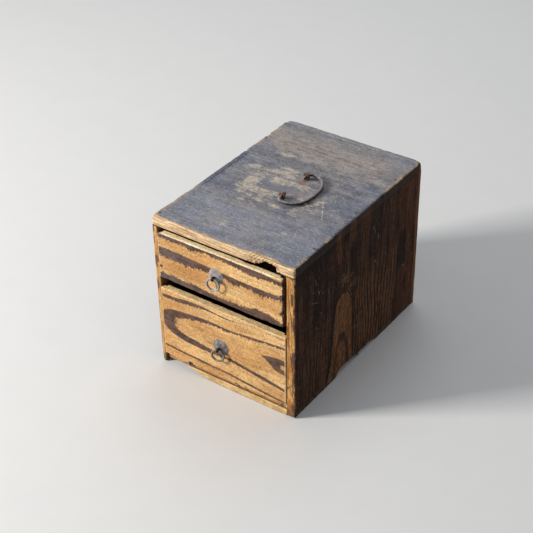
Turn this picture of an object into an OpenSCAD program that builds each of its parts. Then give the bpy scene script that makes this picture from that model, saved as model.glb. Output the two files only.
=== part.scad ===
// Small nailed wooden box with two drawers, ring pulls and a wire bail on its lid board.
// Origin at the middle of the underside, X to the right, Y to the back, Z up, in millimetres.

/* [Case] */
// Width over both side boards
case_w = 150; // [130:1:180]
// Depth from the front edges to the outside of the back board
case_d = 213; // [180:1:250]
// Height over the lid board
case_h = 162; // [154:1:190]
// Thickness of the lid board
top_t = 9.4; // [8:0.2:12]
// Thickness of the left side board
left_t = 4; // [3.6:0.2:7]
// Thickness of the right side board
right_t = 8.4; // [6:0.2:12]
// Thickness of the bottom board
bottom_t = 6.8; // [5:0.2:9]
// Thickness of the back board
back_t = 6; // [4:0.5:9]

/* [Middle shelf] */
// Thickness of the shelf between the drawers
shelf_t = 5.8; // [4:0.2:8]
// Height of the underside of the shelf
shelf_z = 92.4; // [84:0.2:96]
// Distance of the shelf's front edge behind the front of the case
shelf_setback = 8; // [7.5:0.5:30]
// Depth of the stopped housing in the left side
housing_left = 1.2; // [0.6:0.2:2]
// Depth of the stopped housing in the right side
housing_right = 3; // [1:0.5:4]
// Play of the shelf in its housings
housing_fit = 0.1; // [0.05:0.05:0.3]

/* [Wear of the case] */
// Rounding of the lid's worn front edge
top_wear = 2.4; // [0.5:0.1:3]
// Rounding of the lid's other upper edges
lid_edge_wear = 1; // [0.4:0.1:2]
// Rounding of the lid's front left corner seen from above
corner_wear = 5; // [1:0.5:10]
// Width of the gnawed notch in the lid's front edge
notch_w = 26.6; // [18:0.2:34]
// Height of the gnawed notch
notch_h = 6.4; // [3:0.2:7]
// How far the gnawed notch runs back
notch_depth = 9; // [4:0.5:12]
// Distance of the notch from the right side of the case
notch_from_right = 17; // [10:0.5:60]
// Radius of the chips along the lid's side edges
chip_r = 8; // [4:0.5:12]
// Start of the worn hollow under the right side, from the front
hollow_start = 68; // [30:1:90]
// Length of the worn hollow under the right side
hollow_len = 72; // [40:1:80]
// Height of the worn hollow under the right side
hollow_h = 6.5; // [2:0.5:10]
// Rounding of the worn feet at the front
foot_wear = 2.5; // [0.5:0.5:5]
// Width of the corner broken off the bottom board, at the front left
broken_w = 27; // [10:1:45]
// Depth of the corner broken off the bottom board
broken_d = 15; // [5:1:30]

/* [Drawers] */
// How far the drawer fronts stand proud of the case
drawer_proud = 1; // [0:0.1:3]
// Play between a drawer and the left side of the case
gap_left = 0.4; // [0.3:0.1:1.5]
// Play between the upper drawer front and the right side of the case
upper_gap_right = 2.4; // [0.3:0.1:4]
// Play between the lower drawer front and the right side of the case
lower_gap_right = 0.4; // [0.3:0.1:4]
// Running gap under each drawer
run_gap = 0.3; // [0.2:0.1:1]
// Gap between the lid board and the upper drawer front
upper_gap_top = 4.6; // [3.4:0.2:8]
// Gap between the shelf and the lower drawer front
lower_gap_top = 4.6; // [1:0.2:8]
// Gap between each drawer and the back board
gap_back = 3; // [1:0.5:12]
// Thickness of the upper drawer front
upper_front_t = 5.5; // [4.5:0.1:6]
// Thickness of the lower drawer front
lower_front_t = 7; // [6:0.1:8]
// Thickness of the drawer sides
side_t = 4; // [3:0.2:6]
// Thickness of the drawer backs
drawer_back_t = 4.4; // [3:0.2:7]
// Thickness of the upper drawer's bottom
upper_floor_t = 4.4; // [3.2:0.2:6]
// Thickness of the lower drawer's bottom
lower_floor_t = 6; // [3.4:0.2:8]
// How far the drawer sides and backs lie below the top of the front
side_drop = 1.3; // [0.5:0.1:6]
// How far the drawer sides lie inside the ends of the front
side_inset = 0.3; // [0.1:0.1:1]
// Depth of the rabbets at the ends of each front, which take the sides
lap = 2.4; // [1:0.2:3]
// Rounding of the top edge of each front
front_wear = 1; // [0.4:0.1:1.6]
// How far the split strip along the foot of the lower front is set back
strip_back = 2; // [0.5:0.1:3]
// Height of the split strip at its left end
strip_h = 4.4; // [2:0.1:6]
// Length at the left where the foot of the lower front is still whole
strip_from = 27; // [10:1:60]
// How far the hand-cut lower edge of the upper front wanders
edge_wander = 1; // [0.2:0.1:1.6]

/* [Ring pulls] */
// Diameter of the upper domed washer
upper_washer_d = 15.6; // [13:0.2:18]
// Diameter of the lower domed washer
lower_washer_d = 17.2; // [13:0.2:18]
// Height of the dome
washer_dome = 2.2; // [1.4:0.1:3]
// Thickness of the washers' sheet
washer_t = 0.8; // [0.5:0.1:1.2]
// Sideways place of the upper pull from the middle of its front
upper_pull_x = -3.1; // [-20:0.1:20]
// Height of the upper pull above the middle of its front
upper_pull_z = 1.3; // [-6:0.1:6]
// Sideways place of the lower pull from the middle of its front
lower_pull_x = -2.3; // [-20:0.1:20]
// Height of the lower pull above the middle of its front
lower_pull_z = -0.6; // [-20:0.1:20]
// Outer diameter of the rings
ring_d = 13.8; // [12:0.2:20]
// Wire of the rings
ring_wire = 1.8; // [1.4:0.1:2.2]
// Gap where the ends of a ring's wire meet
ring_butt = 0.4; // [0.2:0.1:1]
// How far the upper ring has turned in its eye, in degrees
upper_ring_yaw = 8; // [0:1:12]
// How far the lower ring has turned in its eye, in degrees
lower_ring_yaw = 12; // [0:1:12]
// Play of a ring in the eye of its pin
ring_play = 0.45; // [0.4:0.05:0.7]
// Half-round wire of the pulls' split pins, radius
pull_pin_r = 1.1; // [0.9:0.1:1.3]

/* [Bail handle] */
// Wire of the bail
bail_wire = 3; // [2:0.1:4]
// Distance between the bail's two pins
post_pitch = 39.5; // [30:0.5:60]
// Sideways place of the pins from the middle of the lid
post_x = 3.5; // [-15:0.5:15]
// How far the bail runs out beyond the front pin
bail_overhang_front = 9; // [7.5:0.1:12]
// How far the bail runs out beyond the rear pin
bail_overhang_rear = 6.4; // [6.2:0.1:12]
// How far the bail reaches from its pins
bail_reach = 23.4; // [22.8:0.1:40]
// Radius of the bail's wide bend at the front
bail_bend_front = 15.4; // [8:0.2:18]
// Radius of the bail's wide bend at the rear
bail_bend_rear = 18.4; // [8:0.2:19]
// Radius of the bends beside the pins
bail_hook = 4; // [2.5:0.1:4]
// Length of the bail's tips inside the pins
bail_tip = 3.4; // [1:0.1:8]
// Half-round wire of the bail's split pins, radius
bail_pin_r = 1.5; // [1:0.1:1.6]
// Play of the bail in the eyes of its pins
bail_play = 0.4; // [0.3:0.05:0.6]

/* [Split pins] */
// How far the eyes stand off their seats
pin_neck = 0.2; // [0:0.05:0.8]
// Gap between the two legs of a split pin
pin_slit = 0.3; // [0.2:0.05:0.5]
// Play of a split pin in its hole
pin_fit = 0.1; // [0.05:0.05:0.3]
// Length of each leg bent over on the far side of the wood
pin_tail = 8; // [4:0.5:12]
// Gap between a leg bent over and the wood
tail_gap = 0.3; // [0.3:0.05:0.6]

/* [Nails] */
// Diameter of the nail shanks
nail_d = 1.3; // [1:0.1:1.6]
// Diameter of the nail heads
nail_head_d = 2.8; // [2.2:0.1:3.2]
// Thickness of the nail heads
nail_head_t = 0.6; // [0.4:0.1:1]
// Play of a nail in its hole
nail_fit = 0.05; // [0.02:0.01:0.1]
// Length of the nails in the case
case_nail = 17; // [15:0.5:24]
// Length of the nails in the drawers
drawer_nail = 11; // [9:0.5:12]
// Place of the first nail on the lid's left edge, from the front
left_nail_start = 8; // [4:1:30]
// Place of the first nail on the lid's right edge, from the front
right_nail_start = 36; // [4:1:60]
// Distance of the rear nails from the back board
rear_nail_inset = 36; // [10:1:60]
// Distance of the back board's and the drawers' nails from the edges
nail_inset = 14; // [10:1:24]

/* [Hidden] */
$fn = 48;
// Overrun of a cut past the face that it leaves
e = 1;

// Planes of the case
x_left = -case_w / 2;
x_right = case_w / 2;
x_in_left = x_left + left_t;
x_in_right = x_right - right_t;
y_front = -case_d / 2;
y_back = case_d / 2;
y_in_back = y_back - back_t;
z_lid = case_h - top_t;
shelf_top = shelf_z + shelf_t;

// Drawer planes
y_face = y_front - drawer_proud;
y_drawer_end = y_in_back - gap_back;
x_drawer_left = x_in_left + gap_left;
upper_x_right = x_in_right - upper_gap_right;
lower_x_right = x_in_right - lower_gap_right;
upper_z = shelf_top + run_gap;
upper_top = z_lid - upper_gap_top;
lower_z = bottom_t + run_gap;
lower_top = shelf_z - lower_gap_top;

// Centres of the pulls on the drawer fronts
upper_pull = [
    (x_drawer_left + upper_x_right) / 2 + upper_pull_x,
    y_face,
    (upper_z + upper_top) / 2 + upper_pull_z
];
lower_pull = [
    (x_drawer_left + lower_x_right) / 2 + lower_pull_x,
    y_face,
    (lower_z + lower_top) / 2 + lower_pull_z
];

// Bore of the eyes, and height of their middle over the seat
bail_eye_r = bail_wire / 2 + bail_play;
pull_eye_r = ring_wire / 2 + ring_play;
function eye_height(r, bore_r) = bore_r + r + pin_neck;

// The bail turns in its eyes and lies down until it is just clear of the lid
bail_axis_z = case_h + eye_height(bail_pin_r, bail_eye_r);
bail_lean = asin((bail_axis_z - case_h - bail_wire / 2 - tail_gap) / bail_reach);

// Ends of the bail from the middle between its pins
bail_front_span = post_pitch / 2 + bail_overhang_front;
bail_rear_span = post_pitch / 2 + bail_overhang_rear;

// A ring hangs from the eye at this distance from the drawer front
ring_r = (ring_d - ring_wire) / 2;
ring_out = washer_dome + eye_height(pull_pin_r, pull_eye_r);

// Colours of the bare wood, the weathered wood and the iron
honey = [0.80, 0.60, 0.36];
weathered = [0.46, 0.46, 0.50];
dark_brown = [0.24, 0.16, 0.12];
inner_wood = [0.55, 0.40, 0.26];
grey_iron = [0.52, 0.50, 0.50];
rust = [0.45, 0.27, 0.15];
dark_iron = [0.33, 0.30, 0.31];

// Box between two corners
module block(low, high) {
    translate(low) cube(high - low);
}

// Waste outside a rounded corner: the corner is at the origin, and the wood lies towards -a and -b
module corner_waste(r, a, b) {
    mirror([a < 0 ? 1 : 0, 0]) mirror([0, b < 0 ? 1 : 0])
        difference() {
            translate([-r, -r]) square(r + e);
            translate([-r, -r]) circle(r);
        }
}

// Waste along an edge that runs in X, with its outer sides towards a (Y) and b (Z)
module edge_waste_x(at, length, r, a, b) {
    translate(at) rotate([90, 0, 90]) translate([0, 0, -e]) linear_extrude(length + 2 * e)
        corner_waste(r, a, b);
}

// Waste along an edge that runs in Y, with its outer sides towards a (X) and b (Z)
module edge_waste_y(at, length, r, a, b) {
    translate(at) rotate([90, 0, 0]) translate([0, 0, -length - e]) linear_extrude(length + 2 * e)
        corner_waste(r, a, b);
}

// Nail: its head lies flush at the origin, and its shank runs down
module nail(length, fit = 0) {
    translate([0, 0, -nail_head_t]) cylinder(d = nail_head_d + 2 * fit, h = nail_head_t + (fit > 0 ? e : 0));
    translate([0, 0, -length]) cylinder(d = nail_d + 2 * fit, h = length);
}

module nail_hole(length) {
    nail(length, nail_fit);
}

// Half-round section: the flat side lies along the slit, the round side towards +X
module half_round(r) {
    intersection() {
        circle(r);
        translate([pin_slit / 2, -r]) square([r, 2 * r]);
    }
}

// Split pin: seated at the origin, its eye above with the bore along Y, its legs down through grip
// and bent over to both sides along X
module split_pin(r, bore_r, grip) {
    height = eye_height(r, bore_r);
    bend_r = r + tail_gap;
    difference() {
        union() {
            translate([0, 0, height]) rotate([90, 0, 0]) rotate_extrude()
                translate([bore_r, 0]) intersection() {
                    circle(r);
                    translate([0, -r]) square([r, 2 * r]);
                }
            translate([0, 0, -grip]) cylinder(r = r, h = grip + height - bore_r - r / 4);
        }
        translate([-pin_slit / 2, -r - e, -grip - e]) cube([pin_slit, 2 * (r + e), grip + height + e]);
    }
    for (s = [0, 1]) mirror([s, 0, 0]) {
        translate([bend_r, 0, -grip]) rotate([-90, 0, 0]) rotate([0, 0, 90]) rotate_extrude(angle = 90)
            translate([bend_r, 0]) mirror([1, 0]) half_round(r);
        translate([bend_r, 0, -grip - bend_r]) rotate([90, 0, 90]) linear_extrude(pin_tail - bend_r)
            rotate(90) half_round(r);
    }
}

// Domed washer: its rim on the plane z = 0, its crown at washer_dome
module domed_washer(rim_r) {
    dome_r = (pow(rim_r, 2) + pow(washer_dome, 2)) / (2 * washer_dome);
    difference() {
        intersection() {
            translate([0, 0, washer_dome - dome_r]) sphere(dome_r);
            cylinder(r = rim_r + e, h = washer_dome + e);
        }
        translate([0, 0, washer_dome - dome_r]) sphere(dome_r - washer_t);
        translate([0, 0, -e]) cylinder(r = pull_pin_r + pin_fit, h = washer_dome + 2 * e);
    }
}

// Places of the lid's nails, over the middle of each side board
module at_top_nails() {
    rear = y_in_back - rear_nail_inset;
    for (i = [0:2]) {
        left_y = y_front + left_nail_start;
        translate([x_left + left_t / 2, left_y + (rear - left_y) * i / 2, case_h]) children();
        right_y = y_front + right_nail_start;
        translate([x_right - right_t / 2, right_y + (rear - right_y) * i / 2, case_h]) children();
    }
}

// Places of the back board's nails, into both sides, the lid, the shelf and the bottom board
module at_back_nails() {
    for (x = [x_left + left_t / 2, x_right - right_t / 2], i = [0:3])
        translate([x, y_back, nail_inset + (z_lid - 2 * nail_inset) * i / 3]) rotate([-90, 0, 0]) children();
    for (x = [-case_w / 4, case_w / 4], z = [bottom_t / 2, shelf_z + shelf_t / 2, z_lid + top_t / 2])
        translate([x, y_back, z]) rotate([-90, 0, 0]) children();
}

// Places of the nails through the sides into the bottom board
module at_bottom_nails() {
    for (s = [-1, 1], y = [y_front + broken_d + nail_inset, 0, y_in_back - 2 * nail_inset])
        translate([s * case_w / 2, y, bottom_t / 2]) rotate([0, s * 90, 0]) children();
}

// Holes of the bail's pins through the lid
module bail_pin_holes() {
    for (s = [-1, 1])
        translate([post_x, s * post_pitch / 2, z_lid - e])
            cylinder(r = bail_pin_r + pin_fit, h = top_t + 2 * e);
}

// Profile of the gnawed notch, as shares of its width and height, from its gentle left slope
// to its steep right side
notch_profile = [
    [0, 0], [0.25, 0.22], [0.37, 0.56], [0.46, 0.88], [0.62, 1],
    [0.83, 0.9], [0.9, 0.66], [0.95, 0.3], [1, 0]
];

// How far the round of the teeth reaches past each end of the profile, at the front edge
notch_spread = 1.2;

// Gnawed notch: the profile, cut off behind by the round of the teeth
module gnawed_notch() {
    bite_r = (pow(notch_w / 2 + notch_spread, 2) + pow(notch_depth, 2)) / (2 * notch_depth);
    translate([x_right - notch_from_right - notch_w, y_front, z_lid])
        intersection() {
            rotate([90, 0, 0]) translate([0, 0, -notch_depth]) linear_extrude(notch_depth + e)
                union() {
                    polygon([for (p = notch_profile) [p[0] * notch_w, p[1] * notch_h]]);
                    translate([0, -e]) square([notch_w, e]);
                }
            translate([notch_w / 2, notch_depth - bite_r, -2 * e]) cylinder(r = bite_r, h = notch_h + 4 * e);
        }
}

// Chips along the side edges of the lid: side, share of the depth from the front, and bite
lid_chips = [
    [1, 0.25, 1.5], [1, 0.74, 1.3], [1, 0.87, 2], [1, 0.93, 1.4],
    [-1, 0.13, 1.2], [-1, 0.28, 1.6], [-1, 0.9, 1.8]
];

// Chip: a scoop across the upper edge
module lid_chip(side, share, bite) {
    translate([side * case_w / 2, y_front + share * case_d, case_h]) rotate([0, side * 45, 0])
        translate([0, 0, chip_r - bite]) rotate([0, 90, 0])
            cylinder(r = chip_r, h = 4 * top_t, center = true);
}

module top_board() {
    color(weathered) difference() {
        translate([0, 0, z_lid]) linear_extrude(top_t) difference() {
            translate([x_left, y_front]) square([case_w, case_d - back_t]);
            translate([x_left, y_front]) corner_waste(corner_wear, -1, -1);
        }
        for (c = lid_chips) lid_chip(c[0], c[1], c[2]);
        edge_waste_x([x_left, y_front, case_h], case_w, top_wear, -1, 1);
        edge_waste_y([x_left, y_front, case_h], case_d, lid_edge_wear, -1, 1);
        edge_waste_y([x_right, y_front, case_h], case_d, lid_edge_wear, 1, 1);
        gnawed_notch();
        bail_pin_holes();
        at_top_nails() nail_hole(case_nail);
        at_back_nails() nail_hole(case_nail);
    }
}

// Outline of a side board, seen from the right: front to the left, with the worn foot at the front
module side_outline() {
    difference() {
        square([case_d - back_t, z_lid]);
        corner_waste(foot_wear, -1, -1);
    }
}

// Stopped housing for the shelf, cut from the inner face of a side board
module shelf_housing(x0, x1) {
    block([x0, y_front + shelf_setback, shelf_z], [x1, y_back, shelf_top + housing_fit]);
}

module left_side() {
    color(dark_brown) difference() {
        translate([x_left, y_front, 0]) rotate([90, 0, 90]) linear_extrude(left_t) side_outline();
        shelf_housing(x_in_left - housing_left, x_in_left + e);
        at_top_nails() nail_hole(case_nail);
        at_back_nails() nail_hole(case_nail);
        at_bottom_nails() nail_hole(case_nail);
    }
}

// Hollow worn along the foot of the right side, deeper at the front, as shares of its length and height
hollow_profile = [
    [0, 0], [0.06, 0.7], [0.16, 1], [0.33, 0.94], [0.5, 0.66], [0.85, 0.6], [0.96, 0.3], [1, 0]
];

module right_side() {
    color(dark_brown) difference() {
        translate([x_in_right, y_front, 0]) rotate([90, 0, 90]) linear_extrude(right_t) difference() {
            side_outline();
            translate([hollow_start, 0]) union() {
                polygon([for (p = hollow_profile) [p[0] * hollow_len, p[1] * hollow_h]]);
                translate([0, -e]) square([hollow_len, e]);
            }
        }
        shelf_housing(x_in_right - e, x_in_right + housing_right);
        at_top_nails() nail_hole(case_nail);
        at_back_nails() nail_hole(case_nail);
        at_bottom_nails() nail_hole(case_nail);
    }
}

// Corner broken off the bottom board, as shares of its width and depth
broken_profile = [[0, 0], [0, 0.86], [0.3, 1], [0.7, 0.84], [0.9, 0.34], [1, 0]];

module bottom_board() {
    color(honey) difference() {
        block([x_in_left, y_front, 0], [x_in_right, y_in_back, bottom_t]);
        translate([x_in_left, y_front, -e]) linear_extrude(bottom_t + 2 * e)
            union() {
                polygon([for (p = broken_profile) [p[0] * broken_w, p[1] * broken_d]]);
                translate([0, -e]) square([broken_w, e]);
                translate([-e, -e]) square([e, broken_profile[1][1] * broken_d + e]);
            }
        at_bottom_nails() nail_hole(case_nail);
        at_back_nails() nail_hole(case_nail);
    }
}

module back_board() {
    color(dark_brown) difference() {
        block([x_left, y_in_back, 0], [x_right, y_back, case_h]);
        edge_waste_x([x_left, y_back, case_h], case_w, lid_edge_wear, 1, 1);
        edge_waste_y([x_left, y_in_back, case_h], back_t, lid_edge_wear, -1, 1);
        edge_waste_y([x_right, y_in_back, case_h], back_t, lid_edge_wear, 1, 1);
        at_back_nails() nail_hole(case_nail);
    }
}

module middle_shelf() {
    color(inner_wood) difference() {
        block([x_in_left - housing_left + housing_fit, y_front + shelf_setback + housing_fit, shelf_z],
              [x_in_right + housing_right - housing_fit, y_in_back, shelf_top]);
        at_back_nails() nail_hole(case_nail);
    }
}

module bail_pin(s) {
    color(rust) translate([post_x, s * post_pitch / 2, case_h]) split_pin(bail_pin_r, bail_eye_r, top_t);
}

module front_bail_pin() {
    bail_pin(-1);
}

module rear_bail_pin() {
    bail_pin(1);
}

// Half of the bail in its own plane, towards +Y: the tip in the pin's eye, the hook, the arm, the wide bend
// and half of the grip
module bail_half(span, bend) {
    r = bail_wire / 2;
    tip_y = post_pitch / 2 - bail_pin_r - bail_tip;
    arm_x = bail_reach - bend;
    translate([0, tip_y, 0]) rotate([-90, 0, 0]) cylinder(r = r, h = span - bail_hook - tip_y);
    translate([0, tip_y, 0]) sphere(r);
    translate([bail_hook, span - bail_hook, 0]) rotate([0, 0, 90]) rotate_extrude(angle = 90)
        translate([bail_hook, 0]) circle(r);
    translate([bail_hook, span, 0]) rotate([0, 90, 0]) cylinder(r = r, h = arm_x - bail_hook);
    translate([arm_x, span - bend, 0]) rotate_extrude(angle = 90) translate([bend, 0]) circle(r);
    translate([bail_reach, 0, 0]) rotate([-90, 0, 0]) cylinder(r = r, h = span - bend);
}

module bail_handle() {
    color(dark_iron) translate([post_x, 0, bail_axis_z]) rotate([0, bail_lean, 0]) {
        bail_half(bail_rear_span, bail_bend_rear);
        mirror([0, 1, 0]) bail_half(bail_front_span, bail_bend_front);
    }
}

module top_nails() {
    color(dark_iron) at_top_nails() nail(case_nail);
}

module back_nails() {
    color(dark_iron) at_back_nails() nail(case_nail);
}

module bottom_nails() {
    color(dark_iron) at_bottom_nails() nail(case_nail);
}

// Drawer parts. A drawer is given by its right end x1, its underside z0, the top of its front z1,
// the thickness of its front and the thickness of its bottom.

// Places of the nails through the drawer sides, into the ends of the bottom and the back
module at_side_nails(x1, z0, z1, front_t, floor_t) {
    y0 = y_face + front_t + nail_inset;
    y1 = y_drawer_end - drawer_back_t - nail_inset;
    for (s = [0, 1]) {
        x = s == 0 ? x_drawer_left + side_inset : x1 - side_inset;
        turn = [0, s == 0 ? -90 : 90, 0];
        for (i = [0:2]) translate([x, y0 + (y1 - y0) * i / 2, z0 + floor_t / 2]) rotate(turn) children();
        for (z = [z0 + floor_t + nail_inset / 2, z1 - side_drop - nail_inset / 2])
            translate([x, y_drawer_end - drawer_back_t / 2, z]) rotate(turn) children();
    }
}

// Places of the nails through the upper front into the ends of its sides
module at_upper_front_nails() {
    for (x = [x_drawer_left + side_inset + side_t / 2, upper_x_right - side_inset - side_t / 2],
         share = [0.27, 0.64])
        translate([x, y_face, upper_z + share * (upper_top - upper_z)]) rotate([90, 0, 0]) children();
}

// Places of the nails left in the split strip at the foot of the lower front, as shares of its length
foot_nails = [0.045, 0.515, 0.605, 0.95];

module at_foot_nails() {
    strip_x = x_drawer_left + strip_from;
    for (share = foot_nails)
        translate([strip_x + share * (lower_x_right - strip_x), y_face + strip_back,
                   lower_z + min(lower_floor_t, strip_h) / 2])
            rotate([90, 0, 0]) children();
}

// Rabbets across the back of a front at both ends, from the face depth that the lap leaves
module front_rabbets(x1, z0, z1, front_t) {
    step_y = y_face + front_t - lap;
    inner_y = y_face + front_t + e;
    block([x_drawer_left - e, step_y, z0 - 2 * e], [x_drawer_left + side_inset + side_t, inner_y, z1 + e]);
    block([x1 - side_inset - side_t, step_y, z0 - 2 * e], [x1 + e, inner_y, z1 + e]);
}

// Nails through the sides of each drawer
module at_upper_side_nails() {
    at_side_nails(upper_x_right, upper_z, upper_top, upper_front_t, upper_floor_t) children();
}

module at_lower_side_nails() {
    at_side_nails(lower_x_right, lower_z, lower_top, lower_front_t, lower_floor_t) children();
}

// Drawer side: seated in the front's rabbet, running to the drawer's end
module drawer_side(x, z0, z1, front_t) {
    block([x, y_face + front_t - lap, z0], [x + side_t, y_drawer_end, z1 - side_drop]);
}

// Drawer back, between the sides, over the rear end of the bottom
module drawer_back(x1, z0, z1) {
    block([x_drawer_left + side_inset + side_t, y_drawer_end - drawer_back_t, z0],
          [x1 - side_inset - side_t, y_drawer_end, z1 - side_drop]);
}

// Drawer bottom, between the sides, butted against the front and the back
module drawer_floor(x1, z0, front_t, floor_t) {
    block([x_drawer_left + side_inset + side_t, y_face + front_t, z0],
          [x1 - side_inset - side_t, y_drawer_end - drawer_back_t, z0 + floor_t]);
}

// Hole of a pull's split pin through a front
module pull_hole(at, front_t) {
    translate([at[0], at[1] - e, at[2]]) rotate([-90, 0, 0])
        cylinder(r = pull_pin_r + pin_fit, h = front_t + 2 * e);
}

// Outline of the upper front: its lower edge wanders and dips at the right, its right end is ragged,
// and its upper left corner is worn
module upper_front_outline() {
    w = upper_x_right - x_drawer_left;
    h = upper_top - upper_z;
    polygon([
        [0, edge_wander * 0.9], [w * 0.4, 0], [w * 0.82, -edge_wander],
        [w * 0.92, -edge_wander * 0.5], [w, 0.3], [w, h * 0.2], [w - 0.5, h * 0.24],
        [w - 0.2, h * 0.45], [w - 0.5, h * 0.62], [w - 0.1, h * 0.66], [w - 0.2, h * 0.9],
        [w - 1, h], [w * 0.5, h - 0.2], [2.2, h], [0.8, h - 1.2], [0, h - 3.5]
    ]);
}

module upper_drawer_front() {
    color(honey) difference() {
        translate([x_drawer_left, y_face + upper_front_t, upper_z]) rotate([90, 0, 0])
            linear_extrude(upper_front_t) upper_front_outline();
        front_rabbets(upper_x_right, upper_z, upper_top, upper_front_t);
        edge_waste_x([x_drawer_left, y_face, upper_top], upper_x_right - x_drawer_left, front_wear, -1, 1);
        pull_hole(upper_pull, upper_front_t);
        at_upper_front_nails() nail_hole(drawer_nail);
    }
}

module upper_drawer_left_side() {
    color(inner_wood) difference() {
        drawer_side(x_drawer_left + side_inset, upper_z, upper_top, upper_front_t);
        at_upper_front_nails() nail_hole(drawer_nail);
        at_upper_side_nails() nail_hole(drawer_nail);
    }
}

module upper_drawer_right_side() {
    color(inner_wood) difference() {
        drawer_side(upper_x_right - side_inset - side_t, upper_z, upper_top, upper_front_t);
        at_upper_front_nails() nail_hole(drawer_nail);
        at_upper_side_nails() nail_hole(drawer_nail);
    }
}

module upper_drawer_back() {
    color(inner_wood) difference() {
        drawer_back(upper_x_right, upper_z, upper_top);
        at_upper_side_nails() nail_hole(drawer_nail);
    }
}

module upper_drawer_bottom() {
    color(inner_wood) difference() {
        drawer_floor(upper_x_right, upper_z, upper_front_t, upper_floor_t);
        at_upper_side_nails() nail_hole(drawer_nail);
    }
}

module upper_drawer_nails() {
    color(dark_iron) {
        at_upper_front_nails() nail(drawer_nail);
        at_upper_side_nails() nail(drawer_nail);
    }
}

// Strip split off along the foot of the lower front, deeper at its right end
module split_strip() {
    length = lower_x_right - x_drawer_left - strip_from;
    translate([x_drawer_left + strip_from, y_face + strip_back, lower_z]) rotate([90, 0, 0])
        linear_extrude(strip_back + e)
            polygon([[-1.5, -e], [length + e, -e], [length + e, strip_h * 1.4], [length - 3, strip_h * 1.2],
                     [length - 6, strip_h * 0.84], [2, strip_h], [0, strip_h * 0.6]]);
}

module lower_drawer_front() {
    w = lower_x_right - x_drawer_left;
    h = lower_top - lower_z;
    color(honey) difference() {
        translate([x_drawer_left, y_face + lower_front_t, lower_z]) rotate([90, 0, 0])
            linear_extrude(lower_front_t)
                polygon([[0.4, 2.4], [3, 0], [w, 0], [w, h - 0.5], [w / 2, h - 0.2], [0, h], [0, 4]]);
        split_strip();
        front_rabbets(lower_x_right, lower_z, lower_top, lower_front_t);
        edge_waste_x([x_drawer_left, y_face, lower_top], w, front_wear, -1, 1);
        pull_hole(lower_pull, lower_front_t);
        at_foot_nails() nail_hole(drawer_nail);
    }
}

module lower_drawer_left_side() {
    color(inner_wood) difference() {
        drawer_side(x_drawer_left + side_inset, lower_z, lower_top, lower_front_t);
        at_lower_side_nails() nail_hole(drawer_nail);
    }
}

module lower_drawer_right_side() {
    color(inner_wood) difference() {
        drawer_side(lower_x_right - side_inset - side_t, lower_z, lower_top, lower_front_t);
        at_lower_side_nails() nail_hole(drawer_nail);
    }
}

module lower_drawer_back() {
    color(inner_wood) difference() {
        drawer_back(lower_x_right, lower_z, lower_top);
        at_lower_side_nails() nail_hole(drawer_nail);
    }
}

module lower_drawer_bottom() {
    color(inner_wood) difference() {
        drawer_floor(lower_x_right, lower_z, lower_front_t, lower_floor_t);
        at_lower_side_nails() nail_hole(drawer_nail);
        at_foot_nails() nail_hole(drawer_nail);
    }
}

module lower_drawer_nails() {
    color(dark_iron) {
        at_foot_nails() nail(drawer_nail);
        at_lower_side_nails() nail(drawer_nail);
    }
}

// Washer of a pull, on the face of its drawer front
module pull_washer(at, d) {
    color(grey_iron) translate(at) rotate([90, 0, 0]) domed_washer(d / 2);
}

// Split pin of a pull: its eye stands on the washer, and its legs are bent over inside the drawer
module pull_pin(at, front_t) {
    color(dark_iron) translate(at) rotate([90, 0, 0]) rotate([0, 0, 90]) translate([0, 0, washer_dome])
        split_pin(pull_pin_r, pull_eye_r, washer_dome + front_t);
}

// Ring of a pull: its wire runs through the eye, and it hangs from there, turned by yaw
module pull_ring(at, yaw) {
    butt_angle = 360 * ring_butt / (2 * PI * ring_r);
    color(grey_iron) translate([at[0], at[1] - ring_out, at[2]])
        rotate([0, 0, yaw]) translate([0, 0, -ring_r]) rotate([90, -60, 0])
            rotate_extrude(angle = 360 - butt_angle) translate([ring_r, 0]) circle(d = ring_wire);
}

module upper_pull_washer() {
    pull_washer(upper_pull, upper_washer_d);
}

module upper_pull_pin() {
    pull_pin(upper_pull, upper_front_t);
}

module upper_pull_ring() {
    pull_ring(upper_pull, upper_ring_yaw);
}

module lower_pull_washer() {
    pull_washer(lower_pull, lower_washer_d);
}

module lower_pull_pin() {
    pull_pin(lower_pull, lower_front_t);
}

module lower_pull_ring() {
    pull_ring(lower_pull, lower_ring_yaw);
}

top_board();
left_side();
right_side();
bottom_board();
back_board();
middle_shelf();
front_bail_pin();
rear_bail_pin();
bail_handle();
top_nails();
back_nails();
bottom_nails();
upper_drawer_front();
upper_drawer_left_side();
upper_drawer_right_side();
upper_drawer_back();
upper_drawer_bottom();
upper_drawer_nails();
upper_pull_washer();
upper_pull_pin();
upper_pull_ring();
lower_drawer_front();
lower_drawer_left_side();
lower_drawer_right_side();
lower_drawer_back();
lower_drawer_bottom();
lower_drawer_nails();
lower_pull_washer();
lower_pull_pin();
lower_pull_ring();
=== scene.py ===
import math

import bmesh
import bpy
from mathutils import Matrix, Vector, noise


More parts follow.
